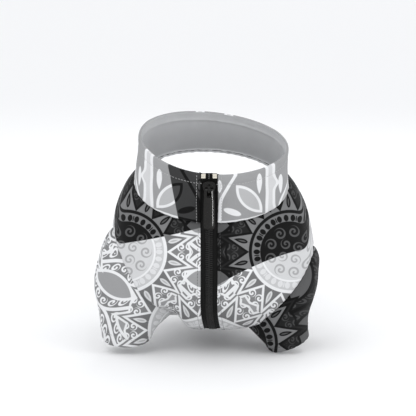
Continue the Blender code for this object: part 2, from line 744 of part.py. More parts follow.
def make_stops(stations, parts):
    """Top stops: a bright metal clip on the inner edge of each tape, just above the slider."""
    frame = station_matrix(stations[0], -TAPE_SINK)
    inner = CHAIN_WIDTH / 2 + CLIP_CLEARANCE
    for name, side in (("left", 1), ("right", -1)):
        stop = box(
            "zip_stop_" + name, (STOP_WIDTH, STOP_LENGTH, TAPE_WALL),
            (side * (inner + STOP_WIDTH / 2), -STOP_LENGTH / 2, CLIP_CLEARANCE + TAPE_WALL / 2),
            parts, bevel=0.25 * TAPE_WALL,
        )
        stop.matrix_world = frame
        paint(stop, "bright_metal")


def make_retainer(stations, parts, cutters):
    """Retainer: a clip at the zip's foot, with its post below the last of the chain."""
    index = len(stations) - 1 - math.ceil(RETAINER_LENGTH / 2 / ZIP_STEP)
    clip(
        "zip_retainer", stations[index], (RETAINER_WIDTH, RETAINER_LENGTH),
        (CHAIN_WIDTH, RETAINER_POST, -1), parts, cutters,
    )


def main():
    for obj in list(bpy.data.objects):
        bpy.data.objects.remove(obj)
    parts = bpy.data.collections.new("dog_jacket")
    cutters = bpy.data.collections.new("cutters")
    for collection in (parts, cutters):
        bpy.context.scene.collection.children.link(collection)
    make_back(parts)
    make_collar(parts)
    for leg, colour in zip(LEGS, ("print_dark", "print_light")):
        make_front(leg, colour, parts)
        make_sleeve(leg, colour, parts)
    stations = zip_stations()
    make_tapes(stations, parts)
    make_chain(stations, parts)
    axis = make_slider(stations, parts, cutters)
    make_pull(axis, parts, cutters)
    make_stops(stations, parts)
    make_retainer(stations, parts, cutters)


main()
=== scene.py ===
"""Zip-front dog jacket, dressed and lit as in a plain studio, in the shape it keeps when worn."""
import math
from collections import namedtuple

import bmesh
import bpy
import numpy as np
from mathutils import Matrix, Vector
from mathutils.geometry import delaunay_2d_cdt


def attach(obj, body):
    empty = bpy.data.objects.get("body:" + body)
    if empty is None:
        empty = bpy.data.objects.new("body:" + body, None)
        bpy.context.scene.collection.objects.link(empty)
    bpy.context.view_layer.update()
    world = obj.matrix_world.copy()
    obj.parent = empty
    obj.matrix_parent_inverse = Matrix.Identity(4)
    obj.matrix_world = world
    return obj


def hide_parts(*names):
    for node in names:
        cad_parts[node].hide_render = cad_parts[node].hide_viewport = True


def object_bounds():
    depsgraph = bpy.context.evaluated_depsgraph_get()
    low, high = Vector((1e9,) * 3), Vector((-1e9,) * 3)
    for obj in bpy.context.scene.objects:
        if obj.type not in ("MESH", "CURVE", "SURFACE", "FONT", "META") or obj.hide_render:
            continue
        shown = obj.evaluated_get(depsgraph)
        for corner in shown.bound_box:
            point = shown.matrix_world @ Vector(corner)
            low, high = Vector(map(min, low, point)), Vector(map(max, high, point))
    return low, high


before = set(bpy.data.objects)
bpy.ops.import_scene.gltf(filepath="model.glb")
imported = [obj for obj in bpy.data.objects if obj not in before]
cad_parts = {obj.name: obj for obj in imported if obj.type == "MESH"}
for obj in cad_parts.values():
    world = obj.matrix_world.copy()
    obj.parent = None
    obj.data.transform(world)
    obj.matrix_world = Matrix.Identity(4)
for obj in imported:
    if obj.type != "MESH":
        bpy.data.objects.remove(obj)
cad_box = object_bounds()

# ---------------------------------------------------------------------------------------------
# Viewpoint. A long lens a little above the chest, square on to the zip, as a shop picture
# of the jacket is taken.
# ---------------------------------------------------------------------------------------------
VIEW_RISE = math.radians(8.0)
VIEW_DISTANCE = 2.0
VIEW_TARGET = Vector((-0.001, -0.085, -0.0447))
METRES_PER_PIXEL = 0.00095
FRAME_PIXELS = 416
SENSOR = 36.0


def add_object(name, data):
    """A new object in the scene."""
    added = bpy.data.objects.new(name, data)
    bpy.context.scene.collection.objects.link(added)
    return added


toward_camera = Vector((0, -math.cos(VIEW_RISE), math.sin(VIEW_RISE)))
camera_data = bpy.data.cameras.new("studio_camera")
camera_data.sensor_width = SENSOR
camera_data.lens = VIEW_DISTANCE / METRES_PER_PIXEL * SENSOR / FRAME_PIXELS
camera_data.clip_start, camera_data.clip_end = 0.05, 60.0
camera = add_object("studio_camera", camera_data)
camera.location = VIEW_TARGET + toward_camera * VIEW_DISTANCE
camera.rotation_euler = (math.pi / 2 - VIEW_RISE, 0, 0)
bpy.context.scene.camera = camera
bpy.context.scene.view_settings.view_transform = "Standard"


# ---------------------------------------------------------------------------------------------
# Studio. A plain pale floor under the cuffs, a pale surround, one large soft light from the upper
# left, a weaker one from the right, one from behind, and a narrow one for the pull alone.
# ---------------------------------------------------------------------------------------------
FLOOR_RADIUS = 16.0
FLOOR_SIDES = 96
FLOOR_DROP = 0.0006
SURROUND = 1.0
Lamp = namedtuple("Lamp", "name place size watts")
LAMPS = (
    Lamp("key_light", (-0.75, -1.30, 1.25), (1.1, 1.1), 6.0),
    Lamp("fill_light", (1.30, -1.10, 0.55), (1.0, 1.0), 4.0),
    Lamp("rim_light", (0.30, 1.40, 1.20), (1.0, 0.7), 5.0),
    Lamp("strip_light", (0.352, -0.773, -0.03), (0.060, 0.30), 4.0),
)
LAMP_TARGET = Vector((0, -0.02, -0.08))


class Shade:
    """A socket in a material. Arithmetic on it adds Math nodes, and node() adds any other."""

    def __init__(self, tree, socket=None):
        self.tree, self.socket = tree, socket

    def node(self, kind, settings=None, sockets=None, out=0):
        added = self.tree.nodes.new(kind)
        for name, value in (settings or {}).items():
            if name == "stops":
                ramp = added.color_ramp
                ramp.elements[0].position, ramp.elements[1].position = value[0][0], value[-1][0]
                for place, _ in value[1:-1]:
                    ramp.elements.new(place)
                for stop, (_, grey) in zip(ramp.elements, value):
                    stop.color = (grey, grey, grey, 1)
            else:
                setattr(added, name, value)
        for key, value in (sockets or {}).items():
            if isinstance(value, Shade):
                self.tree.links.new(value.socket, added.inputs[key])
            else:
                added.inputs[key].default_value = value
        return Shade(self.tree, added.outputs[out])

    def math(self, operation, *values, clamp=False):
        settings = {"operation": operation, "use_clamp": clamp}
        return self.node("ShaderNodeMath", settings, dict(enumerate(values)))

    def limited(self, low, high):
        return self.math("MAXIMUM", self.math("MINIMUM", self, high), low)

    def noise(self, scale, detail):
        """Noise over the object's own space."""
        where = self.node("ShaderNodeTexCoord", out=3)
        return self.node(
            "ShaderNodeTexNoise", None, {"Vector": where, "Scale": scale, "Detail": detail})

    def print_place(self):
        """The place on a piece's print, in millimetres: x and y."""
        place = self.node("ShaderNodeUVMap", {"uv_map": "print"})
        return [self.node("ShaderNodeSeparateXYZ", None, {0: place}, out=axis) * 1000.0
                for axis in (0, 1)]

    def tint(self, low=(0.0, 0.0, 0.0), high=(1.0, 1.0, 1.0)):
        """The colour that lies at this share between two."""
        return self.node(
            "ShaderNodeMix", {"data_type": "RGBA"}, {0: self, 6: (*low, 1), 7: (*high, 1)}, out=2)

    def bump(self, strength, distance):
        """The normal of a face with this height on it."""
        return self.node("ShaderNodeBump", None, {
            "Strength": strength, "Distance": distance, "Height": self})

    def __add__(self, other):
        return self.math("ADD", self, other)

    def __sub__(self, other):
        return self.math("SUBTRACT", self, other)

    def __rsub__(self, other):
        return self.math("SUBTRACT", other, self)

    def __mul__(self, other):
        return self.math("MULTIPLY", self, other)

    def __truediv__(self, other):
        return self.math("DIVIDE", self, other)

    def __pow__(self, other):
        return self.math("POWER", self, other)

    def __abs__(self):
        return self.math("ABSOLUTE", self)

    __radd__, __rmul__ = __add__, __mul__


def start_material(name, **constants):
    """A new material: its Shade to build on, and its shader node with the constants set."""
    material = bpy.data.materials.new(name)
    material.use_nodes = True
    tree = material.node_tree
    shader = tree.nodes["Principled BSDF"]
    for key, value in constants.items():
        shader.inputs[key.replace("_", " ").title().replace("Ior", "IOR")].default_value = value
    return material, Shade(tree), shader


def feed(shader, **links):
    """Links varying values to a shader's sockets."""
    for key, value in links.items():
        value.tree.links.new(value.socket, shader.inputs[key.replace("_", " ").title()])


floor_material, shade, floor_shader = start_material("studio_floor", roughness=0.9)
mottle = shade.node("ShaderNodeTexNoise", None, {"Scale": 3.0, "Detail": 2.0})
feed(floor_shader, base_color=shade.node(
    "ShaderNodeValToRGB", {"stops": ((0.3, 0.945), (0.7, 0.965))}, {0: mottle}))
floor_level = cad_box[0][2] - FLOOR_DROP
floor_shape = bmesh.new()
bmesh.ops.create_circle(floor_shape, cap_ends=True, segments=FLOOR_SIDES, radius=FLOOR_RADIUS)
bmesh.ops.translate(floor_shape, vec=(0, 0, floor_level), verts=floor_shape.verts)
floor_mesh = bpy.data.meshes.new("floor")
floor_shape.to_mesh(floor_mesh)
floor_shape.free()
floor_mesh.materials.append(floor_material)
floor = add_object("floor", floor_mesh)

world = bpy.data.worlds.new("studio_surround")
world.use_nodes = True
world.node_tree.nodes["Background"].inputs["Color"].default_value = (0.97, 0.98, 1.0, 1)
world.node_tree.nodes["Background"].inputs["Strength"].default_value = SURROUND
bpy.context.scene.world = world

for lamp in LAMPS:
    data = bpy.data.lights.new(lamp.name, "AREA")
    data.shape = "RECTANGLE"
    data.size, data.size_y = lamp.size
    data.energy = lamp.watts
    light = add_object(lamp.name, data)
    light.location = lamp.place
    light.rotation_euler = (LAMP_TARGET - Vector(lamp.place)).to_track_quat("-Z", "Y").to_euler()


# ---------------------------------------------------------------------------------------------
# The print. Dye-printed woven polyester: a ring ornament with petals and beads, over a field
# of pointed leaves with curls, drawn in greys on light cloth and in near-blacks on dark cloth.
# ---------------------------------------------------------------------------------------------
def grey(value):
    """A grey level from 0 to 255 as linear reflectance."""
    value /= 255
    return value / 12.92 if value <= 0.04045 else ((value + 0.055) / 1.055) ** 2.4


Tones = namedtuple("Tones", "ground line leaf petal drop drop_core band bead curl core core_curl")
DARK = Tones(*map(grey, (30, 10, 88, 122, 12, 84, 112, 10, 64, 12, 78)))
LIGHT = Tones(*map(grey, (127, 229, 152, 113, 212, 176, 194, 217, 231, 206, 166)))

# Lengths on the print, in millimetres
EDGE_SOFTNESS = 0.45
RING_CORE = 27.5
RING_BAND = 36.5
RING_OUTLINE = 39.5
PETAL_TIP = 62.0
PETAL_HALF_WIDTH = 8.9
PETAL_DROP_FROM = 41.5
PETAL_DROP_LENGTH = 13.5
PETALS = 14
BEADS = 30
BEAD_HALF_LENGTH = 3.1
BEAD_HALF_WIDTH = 2.35
LEAF_ACROSS = 50.0
LEAF_ALONG = 84.0
LEAF_LINE = 1.7
LEAF_BORDER = 10.6
LEAF_OUTLINE = 2.8
LEAF_HALF_WIDTH = 12.2
LEAF_HALF_LENGTH = 23.5
CURL_PITCH = 3.5
CURL_REACH = 4.1


def inside(edge):
    """1 where an edge distance in millimetres is above 0, with a soft step."""
    return edge.math("MULTIPLY_ADD", edge, 1 / EDGE_SOFTNESS, 0.5, clamp=True)


def over(below, above, mask):
    """One tone laid over another where the mask is 1."""
    return below + mask * (above - below)


def curl(x, y, reach=CURL_REACH, pitch=CURL_PITCH, line=0.27, hand=1):
    """A curl's line round a point, about one turn and a quarter."""
    distance = (x * x + y * y) ** 0.5
    turn = x.math("ARCTAN2", y, x) * (hand / (2 * math.pi))
    phase = abs(x.math("FRACT", distance / pitch - turn) - 0.5)
    return inside((line - phase) * pitch) * inside(reach - distance)


def nearest(value, spacing):
    """How far a value lies from the nearest of evenly spaced places."""
    return value - value.math("ROUND", value / spacing) * spacing


def pointed_leaf(along, across, half_length, half_width):
    """Edge distance of a leaf with two pointed ends, between two arcs."""
    radius = (half_length**2 + half_width**2) / (2 * half_width)
    return radius - ((abs(across) + (radius - half_width)) ** 2 + along * along) ** 0.5


def leaf_field(x, y, tones):
    """Pointed leaves in staggered cells, each with a border of curls."""
    half_x, half_y = LEAF_ACROSS / 2, LEAF_ALONG / 2
    ax, ay = nearest(x, LEAF_ACROSS), nearest(y, LEAF_ALONG)
    bx, by = nearest(x + half_x, LEAF_ACROSS), nearest(y + half_y, LEAF_ALONG)

    def edge_of(cx, cy):
        wave = cy * (math.pi / half_y)
        width = (x.math("COSINE", wave) + 1) * (half_x / 2)
        slope = x.math("SINE", wave) * (half_x / 2 * math.pi / half_y)
        return (width - abs(cx)) / (slope * slope + 1) ** 0.5

    first, second = edge_of(ax, ay), edge_of(bx, by)
    pick = x.math("GREATER_THAN", first, second)
    edge, side, down = over(second, first, pick), over(bx, ax, pick), over(by, ay, pick)
    across = edge - (LEAF_LINE + LEAF_BORDER / 2)
    leaf = pointed_leaf(down, side, LEAF_HALF_LENGTH, LEAF_HALF_WIDTH)
    tone = over(tones.ground, tones.curl, curl(across, nearest(down * 1.12, 9.3)))
    tone = over(tone, tones.line, inside(LEAF_LINE - edge))
    tone = over(tone, tones.line, inside(leaf))
    return over(tone, tones.leaf, inside(leaf - LEAF_OUTLINE))


def ring_ornament(x, y, tones):
    """A ring with a curled core, a beaded band and petals: (tone, mask)."""
    reach = (x * x + y * y) ** 0.5
    turn = x.math("ARCTAN2", y, x)

    def polar(count, offset=0.0):
        off = nearest(turn - offset, 2 * math.pi / count)
        return reach * x.math("COSINE", off), reach * x.math("SINE", off)

    # Between the petals
    gap_out, gap_side = polar(PETALS)
    side = abs(gap_side)
    tone = over(tones.ground, tones.curl, curl(gap_out - 53.0, side - 4.3, 3.9, 3.3))
    tone = over(tone, tones.curl, curl(gap_out - 60.5, side - 5.0, 3.6, 3.3, hand=-1))
    # Petals with a drop each
    out, off = polar(PETALS, math.pi / PETALS)
    narrowing = PETAL_HALF_WIDTH / (PETAL_TIP - RING_OUTLINE)
    flank = ((PETAL_TIP - out) * narrowing - abs(off)) * 0.93
    tone = over(tone, tones.line, inside(flank + 1.5))
    tone = over(tone, tones.petal, inside(flank - 0.7))
    share = ((out - PETAL_DROP_FROM) / PETAL_DROP_LENGTH).limited(0.0, 1.0)
    drop = (share ** 0.6) * (1 - share) * 6.3 - abs(off)
    tone = over(tone, tones.drop, inside(drop))
    tone = over(tone, tones.drop_core, inside(drop - 1.5))
    # Beaded band with its outlines, and the curled core
    tone = over(tone, tones.line, inside(RING_OUTLINE - reach))
    tone = over(tone, tones.band, inside(RING_BAND - reach))
    bead_out, bead_off = polar(BEADS)
    middle = (RING_CORE + RING_BAND) / 2
    along, across = (bead_out - middle) / BEAD_HALF_LENGTH, bead_off / BEAD_HALF_WIDTH
    round_bead = 1 - along ** 2 - across ** 2
    tone = over(tone, tones.bead, inside(round_bead * 2.0))
    _, bar_off = polar(BEADS // 3, math.pi / BEADS)
    bar = x.math("MINIMUM", 0.55 - abs(bar_off), 2.4 - abs(reach - middle))
    tone = over(tone, tones.bead, inside(bar))
    tone = over(tone, tones.line, inside(RING_CORE + 1.2 - reach))
    tone = over(tone, tones.core, inside(RING_CORE - 0.6 - reach))
    outer_out, outer_off = polar(9)
    tone = over(tone, tones.core_curl, curl(outer_out - 19.5, outer_off, 5.6, 4.1, 0.22))
    inner_out, inner_off = polar(4, 0.5)
    tone = over(tone, tones.core_curl, curl(inner_out - 8.5, inner_off, 5.0, 3.8, 0.22, -1))
    # Its outline: pointed like the petals' tips
    rim = x.math("MAXIMUM", flank + 3.2, PETAL_TIP - 1.5 - reach - side * 0.25)
    return tone, rim


def ornament(x, y, tones, ring_at, ring_steps, leaf_at, leaf_turn):
    """The whole print on a piece, from the place in millimetres on its cloth."""
    c, s = math.cos(leaf_turn), math.sin(leaf_turn)
    lx, ly = x - leaf_at[0], y - leaf_at[1]
    tone = leaf_field(lx * c + ly * s, ly * c - lx * s, tones)
    across, down = ring_steps
    ax, ay = nearest(x - ring_at[0], across), nearest(y - ring_at[1], down)
    bx = nearest(x - ring_at[0] + across / 2, across)
    by = nearest(y - ring_at[1] + down / 2, down)
    pick = x.math("LESS_THAN", ax * ax + ay * ay, bx * bx + by * by)
    ring, rim = ring_ornament(over(bx, ax, pick), over(by, ay, pick), tones)
    tone = over(tone, tones.line, inside(rim + 2.2))
    return over(tone, ring, inside(rim))


WEAVE_PITCH = 0.55
CLOTH_BUMP = 0.00012


def weave(x, y):
    """Height of a plain weave: threads over and under, from the place in millimetres."""
    warp = x.math("SINE", x * (2 * math.pi / WEAVE_PITCH))
    weft = x.math("SINE", y * (2 * math.pi / WEAVE_PITCH))
    return warp * weft


def cloth_material(name, draw_print):
    """Printed woven polyester: draw_print(x, y) gives its tone from millimetres on the cloth."""
    material, shade, shader = start_material(
        name, specular_ior_level=0.14, sheen_weight=0.02, sheen_roughness=0.5)
    x, y = shade.print_place()
    cloud, slub, threads = shade.noise(38.0, 3.0), shade.noise(900.0, 1.0), weave(x, y)
    tone = draw_print(x, y) * (0.93 + cloud * 0.14) * (0.96 + slub * 0.08) * (1 + threads * 0.03)
    feed(shader, base_color=tone.tint(high=(0.985, 0.99, 1.0)), roughness=0.70 + slub * 0.14,
         normal=(threads * 0.5 + slub * 0.4).bump(0.55, CLOTH_BUMP))
    return material


def pixel(x, y):
    """A place on the print, in millimetres, from its place in a 416-pixel square picture."""
    scale = METRES_PER_PIXEL * 1000
    return (x - FRAME_PIXELS / 2) * scale, (FRAME_PIXELS / 2 - y) * scale


FRONT_RINGS = dict(ring_at=(78.0, -41.4), ring_steps=(156.0, 200.0))
FRONT_LEAVES = dict(leaf_at=pixel(208, 278), leaf_turn=math.radians(90))


def front_print(border):
    """Print of a front panel, dark above a border line and light below it."""
    def draw(x, y):
        start, slope, bend = border
        light = inside(start + x * slope + x * x * bend - y)
        tones = Tones(*(over(dark, pale, light) for dark, pale in zip(DARK, LIGHT)))
        return ornament(x, y, tones, **FRONT_RINGS, **FRONT_LEAVES)
    return draw


def plain_print(tones, **layout):
    def draw(x, y):
        return ornament(x, y, tones, **layout)
    return draw


def fit_border(*pixels):
    """A curve (start, slope, bend) through three picture points."""
    places = np.array([pixel(*p) for p in pixels])
    bend, slope, start = np.polyfit(places[:, 0], places[:, 1], 2)
    return start, slope, bend


cloth = {
    "front_left": cloth_material(
        "print_front_left", front_print(fit_border((217, 285), (265, 261), (313, 247)))),
    "front_right": cloth_material(
        "print_front_right", front_print(fit_border((118, 244), (158, 237.5), (199, 228)))),
    "back_panel": cloth_material(
        "print_back", plain_print(DARK, **FRONT_RINGS, **FRONT_LEAVES)),
    "sleeve_left": cloth_material("print_sleeve_left", plain_print(
        DARK, ring_at=pixel(238, 347), ring_steps=(230.0, 250.0),
        leaf_at=pixel(302, 283), leaf_turn=math.radians(-25))),
    "sleeve_right": cloth_material("print_sleeve_right", plain_print(
        LIGHT, ring_at=pixel(188, 333), ring_steps=(230.0, 250.0),
        leaf_at=pixel(113, 286), leaf_turn=math.radians(55))),
}

# The cloth's other side: plain and pale, because the dye is printed from one side only.
reverse, shade, reverse_shader = start_material(
    "cloth_reverse", specular_ior_level=0.25, sheen_weight=0.08)
threads, cloud = weave(*shade.print_place()), shade.noise(55.0, 3.0)
feed(reverse_shader, roughness=0.78 + cloud * 0.1, normal=threads.bump(0.5, CLOTH_BUMP),
     base_color=(cloud * 0.8 + threads * 0.1).tint((0.60, 0.605, 0.615), (0.70, 0.705, 0.71)))


# ---------------------------------------------------------------------------------------------
# Front panels. Two pieces of cloth from the zip round to the side seams, each with an armhole
# cut out. They are seamed to the neckline, the sleeves and the back, and hemmed at the foot.
# ---------------------------------------------------------------------------------------------
BACK_LENGTH = 0.250
BELLY_LENGTH = 0.165
CHEST_REACH = 0.101
CHEST_DEPTH = 0.177
CHEST_WIDTH = 0.193
NECK_WIDTH = 0.144
HEM_WIDTH = 0.160
ZIP_SWAY = 0.0050
COLLAR_SWAY = 0.0022
COLLAR_LIFT = 0.0042
SIDE_SEAM_AT_NECK = 0.66
SIDE_SEAM_AT_HEM = 0.60
ZIP_OPENING = 0.0162
CLOTH_WALL = 0.0018
ARMHOLE_LENGTH = 0.134
ARMHOLE_BREADTH = 0.076
ARMHOLE_CENTRE_ROUND = 0.094
ARMHOLE_CENTRE_ALONG = 0.108
ARMHOLE_TILT = math.radians(19)
ZIP_CALM = 0.022

# The trunk, a row per section from the neckline to the hem: top point, low point, width,
# squareness, fullness, zip_x, sway and lift
TORSO = np.array((
    (0.00, 0.000, -0.92 * CHEST_REACH, -0.332, NECK_WIDTH, 2.05, -0.03, 0.0,
     COLLAR_SWAY, 0.6 * COLLAR_LIFT),
    (0.05, 0.012, -CHEST_REACH, -0.48, 0.88 * CHEST_WIDTH, 2.15, 0.05, 0.0,
     COLLAR_SWAY, 0.4 * COLLAR_LIFT),
    (0.12, 0.012, -0.99 * CHEST_REACH, -0.65, 0.96 * CHEST_WIDTH, 2.25, 0.12, 0.0,
     COLLAR_SWAY, 0.2 * COLLAR_LIFT),
    (0.19, 0.006, -0.83 * CHEST_REACH, -0.83, 1.01 * CHEST_WIDTH, 2.35, 0.20, 0.0,
     1.5 * COLLAR_SWAY, 0.0),
    (0.27, 0.000, -0.48 * CHEST_REACH, -0.965, 1.01 * CHEST_WIDTH, 2.35, 0.22, 0.6 * ZIP_SWAY,
     1.5 * COLLAR_SWAY, 0.0),
    (0.38, -0.012, 0.00, -1.00, 0.96 * CHEST_WIDTH, 2.35, 0.18, ZIP_SWAY,
     0.5 * COLLAR_SWAY, 0.0),
    (0.52, -0.030, 0.30 * BELLY_LENGTH, -0.985, 0.92 * CHEST_WIDTH, 2.35, 0.12, 0.7 * ZIP_SWAY,
     0.0, 0.0),
    (0.68, -0.048, 0.57 * BELLY_LENGTH, -0.94, 0.50 * CHEST_WIDTH + 0.46 * HEM_WIDTH, 2.30, 0.08,
     0.3 * ZIP_SWAY, 0.0, 0.0),
    (0.84, -0.072, 0.80 * BELLY_LENGTH, -0.88, 0.20 * CHEST_WIDTH + 0.80 * HEM_WIDTH, 2.25, 0.06,
     0.0, 0.0, 0.0),
    (1.00, -0.100, BELLY_LENGTH, -0.82, HEM_WIDTH, 2.20, 0.04, 0.0, 0.0, 0.0),
)) * (BACK_LENGTH, CHEST_DEPTH, 1, CHEST_DEPTH, 1, 1, 1, 1, 1, 1)

# Soft folds in the cloth. Side 1 is the dog's left, -1 its right, 0 both. A fold runs between two
# places, as shares of half the girth and of the length, and has a half width and a height.
Fold = namedtuple("Fold", "side from_round from_along to_round to_along half_width height")
FOLD_WIDTH = 0.0085
FOLD_HEIGHT = 0.0030
TORSO_FOLDS = (
    Fold(0, 0.12, 0.40, 0.05, 0.56, FOLD_WIDTH, -0.8 * FOLD_HEIGHT),
    Fold(0, 0.16, 0.52, 0.10, 0.72, FOLD_WIDTH, 0.8 * FOLD_HEIGHT),
    Fold(0, 0.54, 0.36, 0.78, 0.30, 1.2 * FOLD_WIDTH, -0.8 * FOLD_HEIGHT),
    Fold(0, 0.50, 0.50, 0.74, 0.56, 1.4 * FOLD_WIDTH, -FOLD_HEIGHT),
    Fold(0, 0.42, 0.58, 0.48, 0.84, 1.3 * FOLD_WIDTH, 0.9 * FOLD_HEIGHT),
    Fold(0, 0.86, 0.14, 1.00, 0.20, 1.4 * FOLD_WIDTH, -0.8 * FOLD_HEIGHT),
    Fold(-1, 0.12, 0.24, 0.12, 0.46, 2.7 * FOLD_WIDTH, -4.6 * FOLD_HEIGHT),
)
# Finer creases, only where cloth is pulled towards the armholes and along the belly
TORSO_CREASES = (
    Fold(0, 0.10, 0.30, 0.17, 0.34, 0.0045, 0.0009),
    Fold(0, 0.09, 0.36, 0.15, 0.42, 0.0045, -0.0009),
    Fold(0, 0.46, 0.24, 0.60, 0.16, 0.0060, 0.0010),
    Fold(0, 0.48, 0.40, 0.62, 0.44, 0.0060, 0.0012),
    Fold(0, 0.30, 0.56, 0.34, 0.72, 0.0060, -0.0010),
    Fold(0, 0.20, 0.66, 0.22, 0.90, 0.0070, 0.0010),
    Fold(0, 0.56, 0.66, 0.60, 0.92, 0.0070, -0.0011),
    Fold(0, 0.72, 0.60, 0.78, 0.90, 0.0080, 0.0010),
    Fold(0, 0.88, 0.30, 0.92, 0.55, 0.0080, -0.0010),
    Fold(0, 0.97, 0.55, 0.90, 0.85, 0.0080, 0.0010),
)


def hermite(t, start, first, end, last, span=1.0):
    """A smooth curve from start to end, that leaves and arrives at two slopes."""
    return (
        (2 * t**3 - 3 * t**2 + 1) * start + (t**3 - 2 * t**2 + t) * span * first
        + (3 * t**2 - 2 * t**3) * end + (t**3 - t**2) * span * last)


def curve_through(knots, rows, at):
    """The rows' values at places between the knots, on one smooth curve through them all."""
    last = len(knots) - 1
    k = np.clip(np.searchsorted(knots, at) - 1, 0, last - 1)
    low, high = np.maximum(np.arange(last + 1) - 1, 0), np.minimum(np.arange(last + 1) + 1, last)
    slope = (rows[high] - rows[low]) / (knots[high] - knots[low])[:, None]
    span = (knots[k + 1] - knots[k])[:, None]
    t = (at - knots[k])[:, None] / span
    return hermite(t, rows[k], slope[k], rows[k + 1], slope[k + 1], span)


def softened(value, squareness):
    return np.copysign(np.abs(value) ** (2 / squareness), value)


def ridge(x, y, fold, half_girth, length):
    """How far a fold lifts the cloth at places given as lengths on the cloth."""
    start = np.array((fold.from_round * half_girth, fold.from_along * length))
    run = np.array((fold.to_round * half_girth, fold.to_along * length)) - start
    here = np.stack((x, y), -1) - start
    share = np.clip(here @ run / (run @ run), 0, 1)
    off = np.linalg.norm(here - share[:, None] * run, axis=1)
    height = fold.height * np.sin(np.pi * (0.15 + 0.7 * share))
    return height * np.exp(-((off / fold.half_width) ** 2))


def unit(vectors):
    return vectors / np.linalg.norm(vectors, axis=-1, keepdims=True)


class Surface:
    """A smooth surface through sections, read as (round, along): arrays in, an array out."""

    def __init__(self, rows, folds=()):
        self.rows, self.folds = rows, folds
        steps = 0.5 * (
            np.linalg.norm(np.diff(rows[:, 0:2], axis=0), axis=1)
            + np.linalg.norm(np.diff(rows[:, 2:4], axis=0), axis=1))
        self.length = float(steps.sum())
        self.knots = np.concatenate(([0.0], np.cumsum(steps))) / self.length
        widest = rows[np.argmax(rows[:, 4])]
        across, down = widest[4] / 2, math.hypot(widest[2] - widest[0], widest[3] - widest[1]) / 2
        self.half_girth = math.pi * math.sqrt((across**2 + down**2) / 2)

    def bare(self, around, along):
        row = curve_through(self.knots, self.rows, along).T
        top_y, top_z, low_y, low_z, width, squareness, fullness, zip_x, sway, lift = row
        angle = np.pi * around
        across = softened(np.sin(angle), squareness)
        down = softened(np.cos(angle), squareness)
        down = down + fullness * (1 - down * down)
        return np.stack((
            zip_x + sway * np.sin(angle) ** 2 + across * width / 2,
            (top_y + low_y) / 2 + down * (low_y - top_y) / 2,
            CLOTH_WALL + (top_z + low_z) / 2 + down * (low_z - top_z) / 2 - lift * across,
        ), -1)

    def normal(self, around, along):
        step = 0.004
        side = self.bare(around + step, along) - self.bare(around - step, along)
        low, high = np.maximum(along - step, 0.0), np.minimum(along + step, 1.0)
        return unit(np.cross(self.bare(around, high) - self.bare(around, low), side))

    def lift(self, around, along):
        around = (around + 1) % 2 - 1
        x, y = np.abs(around) * self.half_girth, along * self.length
        lift = np.zeros(len(x))
        for fold in self.folds:
            lift += ridge(x, y, fold, self.half_girth, self.length) * (fold.side * around >= 0)
        return lift * np.clip((x - ZIP_OPENING / 2) / ZIP_CALM, 0, 1) ** 2

    def point(self, around, along):
        """The cloth's outer face, and the direction out of it."""
        way = self.normal(around, along)
        return self.bare(around, along) + way * self.lift(around, along)[:, None], way

    def round_at(self, offset, along):
        """The round value of a place so far beside the zip's middle line."""
        row = curve_through(self.knots, self.rows, along).T
        return np.arcsin(np.minimum(2 * offset / row[4], 1.0) ** (row[5] / 2)) / np.pi


TRUNK = Surface(TORSO, TORSO_FOLDS + TORSO_CREASES)
GRID_STEP = 0.0024
EDGE_ROWS = (0.0, 0.00035, 0.0009, 0.0017, 0.0027)
SEAM_ROLL = 0.0019
SEAM_DIP = 0.0010
HEM_LINE = 0.0095
ZIP_LINE = 0.0030
ZIP_GROOVE = 0.0004
HEM_GROOVE = 0.00045
HEM_FULLNESS = 0.00035
HEM_STEP = 0.0008
GROOVE_WIDTH = 0.0009
LINE_SPACING = 0.0008
LEAST_SPACING = 0.0003
EVEN_BORDER = 0.014


def graded(length, lines_from_start=(), lines_from_end=()):
    """Places from 0 to a length: close together at both ends and beside each stitch line."""
    places = list(EDGE_ROWS) + [length - d for d in EDGE_ROWS]
    for line in list(lines_from_start) + [length - d for d in lines_from_end]:
        places += [line - LINE_SPACING, line, line + LINE_SPACING]
    places = sorted(places)
    filled = [places[0]]
    for place in places[1:]:
        gap = place - filled[-1]
        if gap < LEAST_SPACING:
            continue
        pieces = max(1, round(gap / GRID_STEP))
        start = filled[-1]
        filled += [start + gap * (i + 1) / pieces for i in range(pieces)]
    filled[-1] = length
    return np.array(filled)


def rolled(distance):
    """1 on a turned edge and 0 past its roll, on a quarter round."""
    t = np.clip(1 - distance / SEAM_ROLL, 0, 1)
    return 1 - np.sqrt(1 - t * t)


def stitched(distance, line):
    """The groove that a row of stitches pulls into the cloth, from 0 to 1."""
    return np.exp(-(((distance - line) / GROOVE_WIDTH) ** 2))


def hemmed(distance, line=HEM_LINE):
    """Height of a turned and stitched hem: fuller up to its stitches, with a groove there."""
    full = 0.5 - 0.5 * np.tanh((distance - line) / HEM_STEP)
    return HEM_FULLNESS * full - HEM_GROOVE * stitched(distance, line)


def puckers(run, distance, pitch=0.0095, height=0.00022, reach=0.006):
    """Small gathers that a seam pulls into the cloth beside it."""
    wave = np.sin(2 * np.pi * run / pitch) + 0.6 * np.sin(2 * np.pi * run / (pitch * 1.7) + 1.3)
    return height * wave * np.exp(-distance / reach)


